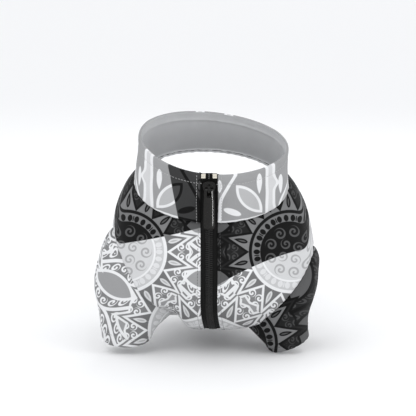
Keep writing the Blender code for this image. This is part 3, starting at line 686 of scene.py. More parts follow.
def close_cloth(name, outer, way, wall, faces, prints, materials, inner_lift=0.0, seamed=False):
    """A closed cloth body from its outer face, with its print coordinates in metres. Edges
    between seamed points show the cloth's reverse."""
    n = len(outer)
    inner = outer - way * np.broadcast_to(wall - inner_lift, n)[:, None]
    loops = dict.fromkeys((a, b) for face in faces for a, b in zip(face, face[1:] + face[:1]))
    rim = [(b, a, a + n, b + n) for a, b in loops if (b, a) not in loops]
    back = [tuple(i + n for i in reversed(face)) for face in faces]
    mesh = bpy.data.meshes.new(name)
    mesh.from_pydata([*map(tuple, outer), *map(tuple, inner)], [], [*faces, *rim, *back])
    layer = mesh.uv_layers.new(name="print")
    corner = np.zeros(len(mesh.loops), int)
    mesh.loops.foreach_get("vertex_index", corner)
    layer.data.foreach_set("uv", np.concatenate((prints, prints))[corner].ravel())
    turned = np.broadcast_to(seamed, n)
    index = [0] * len(faces) + [int(turned[a] and turned[b]) for b, a, _, _ in rim]
    index += [1] * len(back)
    for material in materials:
        mesh.materials.append(material)
    mesh.polygons.foreach_set("material_index", index)
    mesh.shade_smooth()
    mesh.set_sharp_from_angle(angle=math.radians(60))
    mesh.validate()
    return add_object(name, mesh)


camera_up = np.array((0, math.sin(VIEW_RISE), math.cos(VIEW_RISE)))
FACING_LOW = 0.26
FACING_SPAN = 0.35
CLOTH_PULL = 0.15
FRONT_HOLD = 0.02
FIT_ROUNDS = 500


def between(values, axis):
    """Means of neighbours on a grid, along rows or columns."""
    return (values[1:] + values[:-1]) / 2 if axis == 0 else (values[:, 1:] + values[:, :-1]) / 2


def lay_print(places, way, hand=1):
    """Print coordinates on a grid of places: flat to the view where the cloth faces it, and
    unrolled along the cloth elsewhere, as the closest smooth fit to both."""
    places = places - np.array(VIEW_TARGET)
    right = unit(np.gradient(places, axis=1)) * hand
    share = np.clip((way @ np.array(toward_camera) - FACING_LOW) / FACING_SPAN, 0, 1)
    hold = FRONT_HOLD * share
    lengths = [np.linalg.norm(np.diff(places, axis=axis), axis=2) for axis in (0, 1)]
    maps = []
    for view_way, cloth_way in (((1, 0, 0), right), (camera_up, np.cross(way, right))):
        flat = places @ np.array(view_way)
        goals, weights = [], []
        for axis in (0, 1):
            facing = between(share, axis)
            along_cloth = np.sum(np.diff(places, axis=axis) * between(cloth_way, axis), axis=2)
            goals.append(facing * np.diff(flat, axis=axis) + (1 - facing) * along_cloth)
            low = 0.2 * lengths[axis].mean()
            weights.append((CLOTH_PULL + facing) * lengths[1 - axis].mean()
                           / np.maximum(lengths[axis], low))

        def gather(steps):
            down, across = steps[0] * weights[0], steps[1] * weights[1]
            total = np.zeros(flat.shape)
            total[1:] += down
            total[:-1] -= down
            total[:, 1:] += across
            total[:, :-1] -= across
            return total

        def spread(field):
            return gather((np.diff(field, axis=0), np.diff(field, axis=1))) + hold * field

        value = flat.copy()
        rest = gather(goals) + hold * flat - spread(value)
        step, energy = rest.copy(), np.sum(rest**2)
        for _ in range(FIT_ROUNDS):
            if energy < 1e-18:
                break
            image = spread(step)
            size = energy / np.sum(step * image)
            value += size * step
            rest -= size * image
            fresh = np.sum(rest**2)
            step = rest + fresh / energy * step
            energy = fresh
        maps.append(value)
    return maps


def print_map(surface, rounds, alongs, outwards=1):
    """The print's coordinates over a surface, on a grid of round and along values."""
    grid_round, grid_along = (g.ravel() for g in np.meshgrid(rounds, alongs))
    shape = (len(alongs), len(rounds), 3)
    way = surface.normal(grid_round, grid_along) * outwards
    return lay_print(surface.bare(grid_round, grid_along).reshape(shape), way.reshape(shape))


def read_map(maps, rounds, alongs, around, along):
    """Values of a print map between its grid places."""
    i = np.clip((around - rounds[0]) / (rounds[1] - rounds[0]), 0, len(rounds) - 1.001)
    j = np.clip((along - alongs[0]) / (alongs[1] - alongs[0]), 0, len(alongs) - 1.001)
    i0, j0 = i.astype(int), j.astype(int)
    fi, fj = i - i0, j - j0
    return np.stack([
        (m[j0, i0] * (1 - fi) + m[j0, i0 + 1] * fi) * (1 - fj)
        + (m[j0 + 1, i0] * (1 - fi) + m[j0 + 1, i0 + 1] * fi) * fj for m in maps
    ], -1)


MAP_ROUNDS = np.linspace(-0.72, 0.72, 161)
MAP_ALONGS = np.linspace(0, 1, 91)
TRUNK_PRINT = print_map(TRUNK, MAP_ROUNDS, MAP_ALONGS)

Leg = namedtuple(
    "Leg", "name side hole_round hole_along cuff_out cuff_fore cuff_down cuff_width cuff_depth"
    " splay dip flare"
)
CUFF_OUT = 0.078
CUFF_FORE = 0.036
CUFF_DOWN = 0.184
CUFF_WIDTH = 0.042
CUFF_DEPTH = 0.047
LEGS = (
    Leg("left", 1, ARMHOLE_CENTRE_ROUND, ARMHOLE_CENTRE_ALONG,
        1.01 * CUFF_OUT, CUFF_FORE, 1.005 * CUFF_DOWN, 0.97 * CUFF_WIDTH, 0.95 * CUFF_DEPTH,
        math.radians(20), math.radians(7), 0.55),
    Leg("right", -1, 1.09 * ARMHOLE_CENTRE_ROUND, 0.85 * ARMHOLE_CENTRE_ALONG,
        1.03 * CUFF_OUT, CUFF_FORE, 0.975 * CUFF_DOWN, 1.12 * CUFF_WIDTH, 1.05 * CUFF_DEPTH,
        math.radians(-1), math.radians(14), 0.50),
)
ARMHOLE_POINTS = 144
ARMHOLE_ANGLES = 2 * np.pi * np.arange(ARMHOLE_POINTS) / ARMHOLE_POINTS
ARMHOLE_MARGINS = (*EDGE_ROWS, 0.0036)
GRID_MARGIN = 0.0042
GATHER_RADIUS = 0.055
EDGE_THINNING = 0.0007


def armhole(leg, angle, grow=0.0):
    """Places round the armhole on the trunk, as lengths on the cloth, further out by a margin."""
    x = (ARMHOLE_LENGTH / 2 + grow) * np.cos(angle)
    y = (ARMHOLE_BREADTH / 2 + grow) * np.sin(angle)
    c, s = math.cos(ARMHOLE_TILT), math.sin(ARMHOLE_TILT)
    return np.stack((leg.hole_round + x * c + y * s, leg.hole_along - x * s + y * c), -1)


def beside_armhole(leg, x, y):
    """How far outside the armhole's edge a place lies, and its angle round the hole."""
    c, s = math.cos(ARMHOLE_TILT), math.sin(ARMHOLE_TILT)
    dx, dy = x - leg.hole_round, y - leg.hole_along
    long, broad = dx * c - dy * s, dx * s + dy * c
    reach = np.hypot(long, broad) + 1e-9
    share = np.hypot(long / (ARMHOLE_LENGTH / 2), broad / (ARMHOLE_BREADTH / 2)) + 1e-9
    return reach * (1 - 1 / share), np.arctan2(broad, long)


def zip_edge(surface, along):
    return surface.round_at(ZIP_OPENING / 2, along) * surface.half_girth


def side_seam(along):
    share = SIDE_SEAM_AT_NECK + (SIDE_SEAM_AT_HEM - SIDE_SEAM_AT_NECK) * along
    return share * TRUNK.half_girth


def across_grid(low, high, columns):
    """Places across a panel from low to high edges that vary, keeping the end rows' spacing."""
    whole, keep = columns[-1], EVEN_BORDER
    left = low[:, None] + columns[None, :]
    right = high[:, None] - (whole - columns[None, :])
    middle = (low + keep)[:, None] + (columns[None, :] - keep) / (whole - 2 * keep) * (
        high - low - 2 * keep)[:, None]
    return np.where(columns < keep, left, np.where(columns > whole - keep, right, middle))


def new_tree(name, *inputs):
    """A Geometry Nodes tree that takes a shape and some named lengths."""
    tree = bpy.data.node_groups.new(name, "GeometryNodeTree")
    tree.interface.new_socket("Geometry", in_out="INPUT", socket_type="NodeSocketGeometry")
    for label in inputs:
        tree.interface.new_socket(label, in_out="INPUT", socket_type="NodeSocketFloat")
    tree.interface.new_socket("Geometry", in_out="OUTPUT", socket_type="NodeSocketGeometry")
    return tree, tree.nodes.new("NodeGroupInput"), tree.nodes.new("NodeGroupOutput")


def add_node(tree, kind, settings=None, sockets=None):
    """A node in a tree, with its settings, and values or links for its sockets."""
    node = tree.nodes.new(kind)
    for key, value in (settings or {}).items():
        setattr(node, key, value)
    for key, value in (sockets or {}).items():
        if isinstance(value, bpy.types.NodeSocket):
            tree.links.new(value, node.inputs[key])
        else:
            node.inputs[key].default_value = value
    return node


def times(tree, value, factor):
    return add_node(
        tree, "ShaderNodeMath", {"operation": "MULTIPLY"}, {0: value, 1: factor}).outputs[0]


def set_along(tree, given, result, shape, up, along, upright, lengthwise, material):
    """Sets a shape at even steps on the guide lines, turned by two directions, as one mesh."""
    line = add_node(tree, "GeometryNodeMeshToCurve", None, {0: given.outputs["Geometry"]})
    evenly = add_node(tree, "GeometryNodeResampleCurve", None, {0: line.outputs[0]})
    if "Mode" in evenly.inputs:
        evenly.inputs["Mode"].default_value = "Length"
    else:
        evenly.mode = "LENGTH"
    tree.links.new(given.outputs["Pitch"], evenly.inputs["Length"])
    turn = add_node(tree, "FunctionNodeAlignEulerToVector", {"axis": upright}, {"Vector": up})
    turn = add_node(tree, "FunctionNodeAlignEulerToVector",
                    {"axis": lengthwise, "pivot_axis": upright},
                    {"Rotation": turn.outputs[0], "Vector": along})
    placed = add_node(tree, "GeometryNodeInstanceOnPoints", None, {
        "Points": evenly.outputs[0], "Instance": shape, "Rotation": turn.outputs[0]})
    real = add_node(tree, "GeometryNodeRealizeInstances", None, {0: placed.outputs[0]})
    smooth = add_node(tree, "GeometryNodeSetShadeSmooth", None, {0: real.outputs[0]})
    painted = add_node(tree, "GeometryNodeSetMaterial", None, {
        "Geometry": smooth.outputs[0], "Material": material})
    tree.links.new(painted.outputs[0], result.inputs[0])
    return tree


def grow(name, tree, lines, ways=None, **lengths):
    """Runs a tree over lines of points, and gives the result as one plain mesh object."""
    points = np.concatenate(lines)
    edges, start = [], 0
    for line in lines:
        edges += [(start + i, start + i + 1) for i in range(len(line) - 1)]
        start += len(line)
    guide_mesh = bpy.data.meshes.new(name)
    guide_mesh.from_pydata([*map(tuple, points)], edges, [])
    if ways is not None:
        layer = guide_mesh.attributes.new("out", "FLOAT_VECTOR", "POINT")
        layer.data.foreach_set("vector", np.concatenate(ways).ravel())
    guide = add_object(name + "_guide", guide_mesh)
    modifier = guide.modifiers.new(name, "NODES")
    modifier.node_group = tree
    for item in tree.interface.items_tree:
        if item.item_type == "SOCKET" and item.in_out == "INPUT" and item.name in lengths:
            modifier[item.identifier] = lengths[item.name]
    bpy.context.view_layer.update()
    evaluated = guide.evaluated_get(bpy.context.evaluated_depsgraph_get())
    mesh = bpy.data.meshes.new_from_object(evaluated)
    mesh.name = name
    bpy.data.objects.remove(guide)
    return add_object(name, mesh)


STITCH_PITCH = 0.0030
STITCH_LENGTH = 0.0023
STITCH_RADIUS = 0.00022
THREAD_TONES = {"pale": 178, "mid": 84, "dark": 34}


def thread_material(tone):
    """Twisted polyester sewing thread."""
    material, shade, shader = start_material(
        "thread_" + tone, specular_ior_level=0.25, sheen_weight=0.05)
    twist = shade.noise(1800.0, 2.0)
    dye = grey(THREAD_TONES[tone]) * (0.8 + twist * 0.4)
    feed(shader, base_color=dye.tint(), roughness=0.5 + twist * 0.2)
    return material


thread = {tone: thread_material(tone) for tone in THREAD_TONES}


def stitch_tree(material):
    """Stitches on guide lines, each a short thread that dips into the cloth at both ends."""
    tree, given, result = new_tree("stitch_run", "Pitch", "Length", "Radius")
    length, radius = given.outputs["Length"], given.outputs["Radius"]
    dip, crown = times(tree, radius, -1.3), times(tree, radius, 2.4)
    ends = [add_node(tree, "ShaderNodeCombineXYZ", None, {0: times(tree, length, k), 2: dip})
            for k in (-0.5, 0.5)]
    middle = add_node(tree, "ShaderNodeCombineXYZ", None, {2: crown})
    arc = add_node(tree, "GeometryNodeCurveQuadraticBezier", None, {
        "Resolution": 5, "Start": ends[0].outputs[0], "Middle": middle.outputs[0],
        "End": ends[1].outputs[0]})
    ring = add_node(tree, "GeometryNodeCurvePrimitiveCircle", None, {
        "Resolution": 6, "Radius": radius})
    shape = add_node(tree, "GeometryNodeCurveToMesh", None, {
        "Curve": arc.outputs[0], "Profile Curve": ring.outputs[0], "Fill Caps": True})
    out = add_node(tree, "GeometryNodeInputNamedAttribute", {"data_type": "FLOAT_VECTOR"},
                   {"Name": "out"})
    along = add_node(tree, "GeometryNodeInputTangent")
    return set_along(tree, given, result, shape.outputs[0], out.outputs[0], along.outputs[0],
                     "Z", "X", material)


def sew(name, lines, ways, tone):
    """A run of topstitching on the cloth's outer face."""
    piece = grow(name, stitch_tree(thread[tone]), lines, ways, Pitch=STITCH_PITCH,
                 Length=STITCH_LENGTH, Radius=STITCH_RADIUS)
    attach(piece, "jacket")
    return piece


def cut_size(places):
    """Width, length and area of a piece as cut, from the form without folds or lifts."""
    across, down = np.diff(places, axis=1), np.diff(places, axis=0)
    cells = np.linalg.norm(np.cross(between(across, 0), between(down, 1)), axis=2)
    width = np.linalg.norm(across, axis=2).sum(axis=1).max()
    length = np.linalg.norm(down, axis=2).sum(axis=0).max()
    return (float(width), float(length)), float(cells.sum())


def close_to(values, value):
    return int(np.argmin(np.abs(values - value)))


def grid_faces(rows, columns):
    """Square faces over a grid of points in rows."""
    return [(i, i + 1, i + columns + 1, i + columns)
            for start in range(0, (rows - 1) * columns, columns)
            for i in range(start, start + columns - 1)]


def facing_out(faces, places, way):
    """The same faces, turned round if they face inwards."""
    middle = faces[len(faces) // 2]
    a, b, c = (places[i] for i in middle[:3])
    inwards = np.cross(b - a, c - a) @ way[middle[0]] < 0
    return [face[::-1] for face in faces] if inwards else faces


def make_front(leg):
    """A front panel, its stitching and its flat size."""
    rows = graded(TRUNK.length, (), (HEM_LINE,))
    alongs = rows / TRUNK.length
    low, high = zip_edge(TRUNK, alongs), side_seam(alongs)
    columns = graded(float(np.mean(high - low)), (ZIP_LINE,))
    grid_x = across_grid(low, high, columns)
    grid_y = np.repeat(rows[:, None], len(columns), 1)
    # Each border has its own mark: a face with all corners on one of them is no cloth
    flags = np.zeros(grid_x.shape, int)
    flags[0] |= 1
    flags[-1] |= 2
    flags[:, 0] |= 4
    flags[:, -1] |= 8
    gap, _ = beside_armhole(leg, grid_x, grid_y)
    keep = (gap > GRID_MARGIN) | (flags > 0)
    rings = [armhole(leg, ARMHOLE_ANGLES, grow) for grow in ARMHOLE_MARGINS]
    points = np.concatenate([np.stack((grid_x[keep], grid_y[keep]), -1), *rings])
    marks = np.concatenate([flags[keep], np.full(ARMHOLE_POINTS, 16),
                            np.zeros(ARMHOLE_POINTS * (len(rings) - 1), int)])
    number = np.full(grid_x.shape, -1)
    number[keep] = np.arange(keep.sum())
    border = []
    for line in (number[0], number[:, -1], number[-1], number[:, 0]):
        border += list(zip(line[:-1].tolist(), line[1:].tolist()))
    ring = [int(keep.sum()) + i for i in range(ARMHOLE_POINTS)]
    border += list(zip(ring, ring[1:] + ring[:1]))
    flat, _, faces, *_ = delaunay_2d_cdt(
        [Vector(p) for p in points.tolist()], border, [], 0, 1e-8)
    assert len(flat) == len(points)
    kept = [tuple(f) for f in faces if not marks[f[0]] & marks[f[1]] & marks[f[2]]]
    x, y = points[:, 0], points[:, 1]
    along = y / TRUNK.length
    around = leg.side * x / TRUNK.half_girth
    outer, way = TRUNK.point(around, along)
    from_zip = x - zip_edge(TRUNK, along)
    from_seam = side_seam(along) - x
    from_hem = TRUNK.length - y
    from_hole, hole_angle = beside_armhole(leg, x, y)
    seams = np.maximum.reduce([rolled(y), rolled(from_seam), rolled(np.abs(from_hole))])
    edges = np.maximum(rolled(from_zip), rolled(from_hem))
    lift = -SEAM_DIP * seams - EDGE_THINNING * edges + hemmed(from_hem)
    lift -= ZIP_GROOVE * stitched(from_zip, ZIP_LINE)
    lift += puckers(hole_angle * GATHER_RADIUS, np.maximum(from_hole, 0)) + puckers(x, y)
    outer = outer + way * lift[:, None]
    prints = read_map(TRUNK_PRINT, MAP_ROUNDS, MAP_ALONGS, around, along)
    piece = close_cloth(
        "front_panel_" + leg.name, outer, way, CLOTH_WALL, facing_out(kept, outer, way), prints,
        (cloth["front_" + leg.name], reverse), EDGE_THINNING * edges, y < 1e-9)
    lines = number[close_to(rows, TRUNK.length - HEM_LINE)], number[:, close_to(columns, ZIP_LINE)]
    stitches = sew("stitches_front_" + leg.name, [outer[line] for line in lines],
                   [way[line] for line in lines], "mid")
    bare = TRUNK.bare(leg.side * grid_x.ravel() / TRUNK.half_girth, grid_y.ravel() / TRUNK.length)
    size, area = cut_size(bare.reshape(*grid_x.shape, 3))
    return piece, stitches, size, area - math.pi / 4 * ARMHOLE_LENGTH * ARMHOLE_BREADTH


for leg in LEGS:
    piece, stitches, size, area = make_front(leg)
    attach(piece, "jacket")
    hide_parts("front_" + leg.name)

# ---------------------------------------------------------------------------------------------
# Back panel. One piece of dark printed cloth over the back, between the side seams, hemmed at
# the tail end and seamed to the collar at the neckline.
# ---------------------------------------------------------------------------------------------
rows = graded(TRUNK.length, (), (HEM_LINE,))
alongs = rows / TRUNK.length
low = side_seam(alongs)
high = 2 * TRUNK.half_girth - low
columns = graded(float(np.mean(high - low)))
x = across_grid(low, high, columns).ravel()
y = np.repeat(rows, len(columns))
around, along = x / TRUNK.half_girth, y / TRUNK.length
outer, way = TRUNK.point(around, along)
from_seam = np.minimum(x - side_seam(along), 2 * TRUNK.half_girth - side_seam(along) - x)
from_hem = TRUNK.length - y
edges = rolled(from_hem)
lift = -SEAM_DIP * np.maximum(rolled(y), rolled(from_seam)) - EDGE_THINNING * edges
lift += hemmed(from_hem) + puckers(x, y)
outer = outer + way * lift[:, None]
prints = np.stack((x - TRUNK.half_girth, y), -1)
faces = facing_out(grid_faces(len(rows), len(columns)), outer, way)
back_panel = close_cloth(
    "back_cloth", outer, way, CLOTH_WALL, faces, prints, (cloth["back_panel"], reverse),
    EDGE_THINNING * edges, y < 1e-9)
shape = (len(rows), len(columns), 3)
hem_row = close_to(rows, TRUNK.length - HEM_LINE)
stitches = sew("stitches_back_hem", [outer.reshape(shape)[hem_row]], [way.reshape(shape)[hem_row]],
               "dark")
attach(back_panel, "jacket")
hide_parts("back_panel")
size, area = cut_size(TRUNK.bare(around, along).reshape(shape))

# ---------------------------------------------------------------------------------------------
# Collar. A doubled stand collar of light printed cloth with one dark strip beside the zip,
# folded at the top, topstitched below the fold and seamed into the neckline.
# ---------------------------------------------------------------------------------------------
COLLAR_FRONT_HEIGHT = 0.052
COLLAR_BACK_HEIGHT = 0.046
COLLAR_FRONT_LEAN = math.radians(22)
COLLAR_BACK_LEAN = math.radians(33)
COLLAR_TOP_WIDTH = 0.138
COLLAR_WALL = 0.0026
COLLAR_LINE = 0.0095
COLLAR_THINNING = 0.0010
COLLAR_FULLNESS = 0.00025
COLLAR_GROOVE = 0.00055
# Rise, width, squareness, fullness, belly, sway and lift
COLLAR = (
    (0.00, NECK_WIDTH, 2.05, -0.03, 0.000, COLLAR_SWAY, 0.6 * COLLAR_LIFT),
    (0.30, 0.35 * NECK_WIDTH + 0.66 * COLLAR_TOP_WIDTH,
     2.05, -0.04, 0.000, 1.3 * COLLAR_SWAY, 0.9 * COLLAR_LIFT),
    (0.70, 0.10 * NECK_WIDTH + 0.90 * COLLAR_TOP_WIDTH,
     2.00, -0.06, 0.008, 1.7 * COLLAR_SWAY, 1.2 * COLLAR_LIFT),
    (1.00, COLLAR_TOP_WIDTH, 1.95, -0.08, 0.000, 2.0 * COLLAR_SWAY, 1.4 * COLLAR_LIFT),
)
COLLAR_CREASES = (
    Fold(0, 0.30, 0.10, 0.24, 0.75, 0.0060, -0.0007),
    Fold(0, 0.48, 0.20, 0.52, 0.80, 0.0070, 0.0007),
    Fold(0, 0.70, 0.10, 0.66, 0.90, 0.0080, -0.0008),
    Fold(0, 0.90, 0.20, 0.94, 0.85, 0.0080, 0.0007),
    Fold(0, 0.16, 0.70, 0.34, 0.62, 0.0050, 0.0005),
)

neck_rows = []
for rise, width, squareness, fullness, belly, sway, tilt in COLLAR:
    front, back = rise * COLLAR_FRONT_HEIGHT, rise * COLLAR_BACK_HEIGHT
    neck_rows.append((
        TORSO[0][0] - back * math.sin(COLLAR_BACK_LEAN),
        TORSO[0][1] + back * math.cos(COLLAR_BACK_LEAN),
        TORSO[0][2] - front * math.sin(COLLAR_FRONT_LEAN) - belly * NECK_WIDTH,
        TORSO[0][3] + front * math.cos(COLLAR_FRONT_LEAN),
        width, squareness, fullness, 0.0, sway, tilt,
    ))
NECK = Surface(np.array(neck_rows), COLLAR_CREASES)
NECK_ROUNDS = np.linspace(-1, 1, 201)
NECK_ALONGS = np.linspace(0, 1, 31)
NECK_PRINT = print_map(NECK, NECK_ROUNDS, NECK_ALONGS, -1)

# Lengths on the collar's print, in millimetres
MOTIF_MIDDLE, MOTIF_LEVEL = pixel(209.5, 196)
MOTIF_TILT = 0.045
TILT_REACH = 60.0
SEAM_HIGHLIGHT_REACH = 78.0
SLIM_REACH = 40.0
STEM_AT = 55.5
LEAF_AT = 36.3
COLLAR_LEAF = (17.1, 8.3)
DROP_AT = 45.5
FOOT_DROP_AT = 21.0


def collar_motifs(x, y, tones):
    """Pale stems with a leaf and drops between them, the same on both sides of the zip."""
    beside = abs(x - MOTIF_MIDDLE)
    t = abs(nearest(beside, 2 * STEM_AT))
    up = y - MOTIF_LEVEL + x.limited(-TILT_REACH, TILT_REACH) * MOTIF_TILT
    # Slim curved stem beside the zip, and a drop at its foot
    rise = up + 1.9
    slim = 1.6 - abs(t - 9.5 - (rise + (rise * rise + 16) ** 0.5) * 0.3)
    slim = x.math("MINIMUM", slim, SLIM_REACH - beside)
    tone = over(tones.ground, tones.line, inside(slim))
    petal = pointed_leaf(up - 10.5, t - 9.2, 6.0, 2.4)
    tone = over(tone, tones.line, inside(petal))
    tone = over(tone, tones.core, inside(petal - 1.0))
    low = up + 12.8 + (t - FOOT_DROP_AT) * 0.25
    foot_drop = 1 - ((t - FOOT_DROP_AT) / 8.0) ** 2 - (low / 3.1) ** 2
    tone = over(tone, tones.line, inside(foot_drop * 1.6))
    # Leaf with its pale outline
    lean = t - LEAF_AT
    leaf = pointed_leaf((lean - up) * 0.707, (lean + up) * 0.707, *COLLAR_LEAF)
    tone = over(tone, tones.line, inside(leaf))
    tone = over(tone, tones.leaf, inside(leaf - 2.5))
    # Hanging drop
    share = ((up - 5.0) / 19.5).limited(0.0, 1.0)
    drop = (share ** 0.8) * (1 - share) ** 0.5 * 6.6 - abs(t - DROP_AT) - 0.4
    tone = over(tone, tones.line, inside(drop))
    # Broad stem, straight on its inner side and waved on its outer side
    side = nearest(beside - STEM_AT, 2 * STEM_AT)
    upper, foot = (up - 17.0) / 4.5, (up + 13.0) / 6.0
    bulge = x.math("EXPONENT", 0 - upper * upper) * 3.6 + x.math("EXPONENT", 0 - foot * foot) * 3.0
    stem = x.math("MINIMUM", side + 4.4, bulge + 4.4 - side)
    tone = over(tone, tones.line, inside(stem))
    tone = over(tone, tones.core, inside(stem - 2.6))
    # Painted highlight: a pale band along the collar's foot seam, where the seam's edge catches the
    # light, over the front alone
    border = 1.2 - abs(y - 1.9 - FOOT_LEVEL - x * x * FOOT_RISE + x * FOOT_TILT)
    return over(tone, tones.line, inside(x.math("MINIMUM", border, SEAM_HIGHLIGHT_REACH - abs(x))))


STRIP_TOP, STRIP_FOOT = pixel(170, 165), pixel(180, 221)
FOOT_LEVEL, FOOT_RISE, FOOT_TILT = pixel(208, 222.7)[1], 0.0037, 0.058
COLLAR_LIGHT = LIGHT._replace(ground=grey(153), leaf=grey(182))
COLLAR_DARK = DARK._replace(ground=grey(56), leaf=grey(66), core=grey(66))


def collar_print(x, y):
    slant = (STRIP_FOOT[0] - STRIP_TOP[0]) / (STRIP_FOOT[1] - STRIP_TOP[1])
    edge = STRIP_TOP[0] + (y - STRIP_TOP[1]) * slant
    dark = inside(x - edge) * inside(0 - x)
    tones = Tones(*(over(pale, deep, dark) for pale, deep in zip(COLLAR_LIGHT, COLLAR_DARK)))
    return collar_motifs(x, y, tones)


rows = graded(NECK.length, (), (COLLAR_LINE,))
alongs = rows / NECK.length
foot_edge, top_edge = zip_edge(NECK, np.array((0.0, 1.0)))
low = foot_edge * (1 - alongs) + top_edge * alongs
whole = 2 * NECK.half_girth
columns = graded(float(np.mean(whole - 2 * low)), (ZIP_LINE,), (ZIP_LINE,))
x = across_grid(low, whole - low, columns).ravel()
y = np.repeat(rows, len(columns))
around, along = (x / NECK.half_girth + 1) % 2 - 1, y / NECK.length
outer, way = NECK.point(around, along)
way = -way
outer = outer + way * COLLAR_WALL
from_zip = np.minimum(x, whole - x) - np.repeat(low, len(columns))
from_top = NECK.length - y
edges = np.maximum(rolled(from_zip * 0.8), rolled(from_top * 0.8))
lift = -SEAM_DIP * rolled(y) - COLLAR_THINNING * edges - ZIP_GROOVE * stitched(from_zip, ZIP_LINE)
lift += COLLAR_FULLNESS - COLLAR_GROOVE * stitched(from_top, COLLAR_LINE)
lift += puckers(x, y) + puckers(x, np.abs(from_top - COLLAR_LINE), 0.0088, 0.00012)
outer = outer + way * lift[:, None]
prints = read_map(NECK_PRINT, NECK_ROUNDS, NECK_ALONGS, around, along)
faces = facing_out(grid_faces(len(rows), len(columns)), outer, way)
collar = close_cloth(
    "collar_cloth", outer, way, COLLAR_WALL, faces, prints,
    (cloth_material("print_collar", collar_print), reverse), COLLAR_THINNING * edges)
shape = (len(rows), len(columns), 3)
grid, grid_way = outer.reshape(shape), way.reshape(shape)
top_row = close_to(rows, NECK.length - COLLAR_LINE)
zip_columns = [close_to(columns, ZIP_LINE), close_to(columns, columns[-1] - ZIP_LINE)]
stitches = sew(
    "stitches_collar", [grid[top_row]] + [grid[:, c] for c in zip_columns],
    [grid_way[top_row]] + [grid_way[:, c] for c in zip_columns], "pale")
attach(collar, "jacket")
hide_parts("collar")
mid_wall = NECK.bare(around, along) - NECK.normal(around, along) * COLLAR_WALL / 2
size, area = cut_size(mid_wall.reshape(shape))

# ---------------------------------------------------------------------------------------------
# Sleeves. Two short tubes of printed cloth, set into the armholes, each closed by one seam
# under the arm and hemmed at the cuff.
# ---------------------------------------------------------------------------------------------
SLEEVE_FOLDS = (
    Fold(0, -0.10, 0.26, 0.62, 0.40, 0.9 * FOLD_WIDTH, -0.9 * FOLD_HEIGHT),
    Fold(0, -0.62, 0.44, -0.10, 0.52, 0.8 * FOLD_WIDTH, 0.7 * FOLD_HEIGHT),
    Fold(0, -0.30, 0.72, 0.40, 0.78, 0.8 * FOLD_WIDTH, -0.7 * FOLD_HEIGHT),
)
SLEEVE_CREASES = (
    Fold(0, -0.55, 0.12, -0.40, 0.36, 0.0060, 0.0010),
    Fold(0, -0.86, 0.20, -0.64, 0.34, 0.0055, -0.0010),
    Fold(0, -0.78, 0.62, -0.36, 0.66, 0.0055, -0.0009),
    Fold(0, 0.30, 0.56, 0.80, 0.60, 0.0060, 0.0010),
    Fold(0, 0.05, 0.10, 0.12, 0.34, 0.0070, 0.0010),
    Fold(0, -0.24, 0.08, -0.20, 0.30, 0.0060, -0.0008),
)
SLEEVE_HEM_LINE = 0.0085
SLEEVE_ROUND = 0.235
TRUNK_WAY_REACH = 0.006
CUFF_GATHER_RADIUS = 0.025
SLEEVE_ANGLES = np.linspace(np.pi, 3 * np.pi, 97)
SLEEVE_SHARES = np.linspace(0, 1, 49)


class Sleeve:
    """A sleeve's outer face, from the armhole's loop to the cuff. Angle 0 is outwards."""

    def __init__(self, leg):
        self.leg = leg
        self.out = np.array((math.cos(leg.splay), 0, math.sin(leg.splay)))
        self.rear = np.array((0, math.cos(leg.dip), math.sin(leg.dip)))
        self.top_middle = self.top(ARMHOLE_ANGLES)[0].mean(axis=0)
        self.low_middle = self.cuff(ARMHOLE_ANGLES).mean(axis=0)
        self.leg_way = unit(np.cross(self.rear, self.out * (leg.side, 1, 1)))
        if self.leg_way[2] > 0:
            self.leg_way = -self.leg_way
        self.length = float(np.linalg.norm(self.low_middle - self.top_middle))
        self.half_girth = math.pi * (ARMHOLE_LENGTH + CUFF_WIDTH) / 4

    def top(self, angle):
        x, y = armhole(self.leg, angle).T
        return TRUNK.point(self.leg.side * x / TRUNK.half_girth, y / TRUNK.length)

    def cuff(self, angle):
        leg = self.leg
        place = (
            np.array((leg.cuff_out, -leg.cuff_fore, -leg.cuff_down))
            + np.cos(angle)[:, None] * self.out * leg.cuff_width / 2
            + np.sin(angle)[:, None] * self.rear * leg.cuff_depth / 2)
        return place * (leg.side, 1, 1)

    def point(self, angle, share, folds=SLEEVE_FOLDS + SLEEVE_CREASES):
        start, trunk_way = self.top(angle)
        end = self.cuff(angle)
        chord = np.linalg.norm(end - start, axis=1, keepdims=True)
        turn = np.cos(angle)[:, None]
        axis = unit(self.low_middle - self.top_middle)
        spoke = start - self.top_middle
        spoke = unit(spoke - (spoke @ axis)[:, None] * axis)
        lean = self.leg.flare * (0.5 + turn) - 0.30 * (1 - turn)
        first = unit(axis + spoke * lean) * chord
        rim = unit(end - self.low_middle)
        last = unit(self.leg_way - rim * 0.22) * chord
        t = share[:, None]
        place = hermite(t, start, first, end, last)
        around = (angle / np.pi + 1) % 2 - 1
        lift = np.zeros(len(angle)) + sum(
            ridge(around * self.half_girth, share * self.length, fold, self.half_girth, self.length)
            for fold in folds)
        away = place - (self.top_middle + t * (self.low_middle - self.top_middle))
        away = unit(away - (away @ axis)[:, None] * axis)
        return place + away * lift[:, None], away, trunk_way, chord[:, 0]


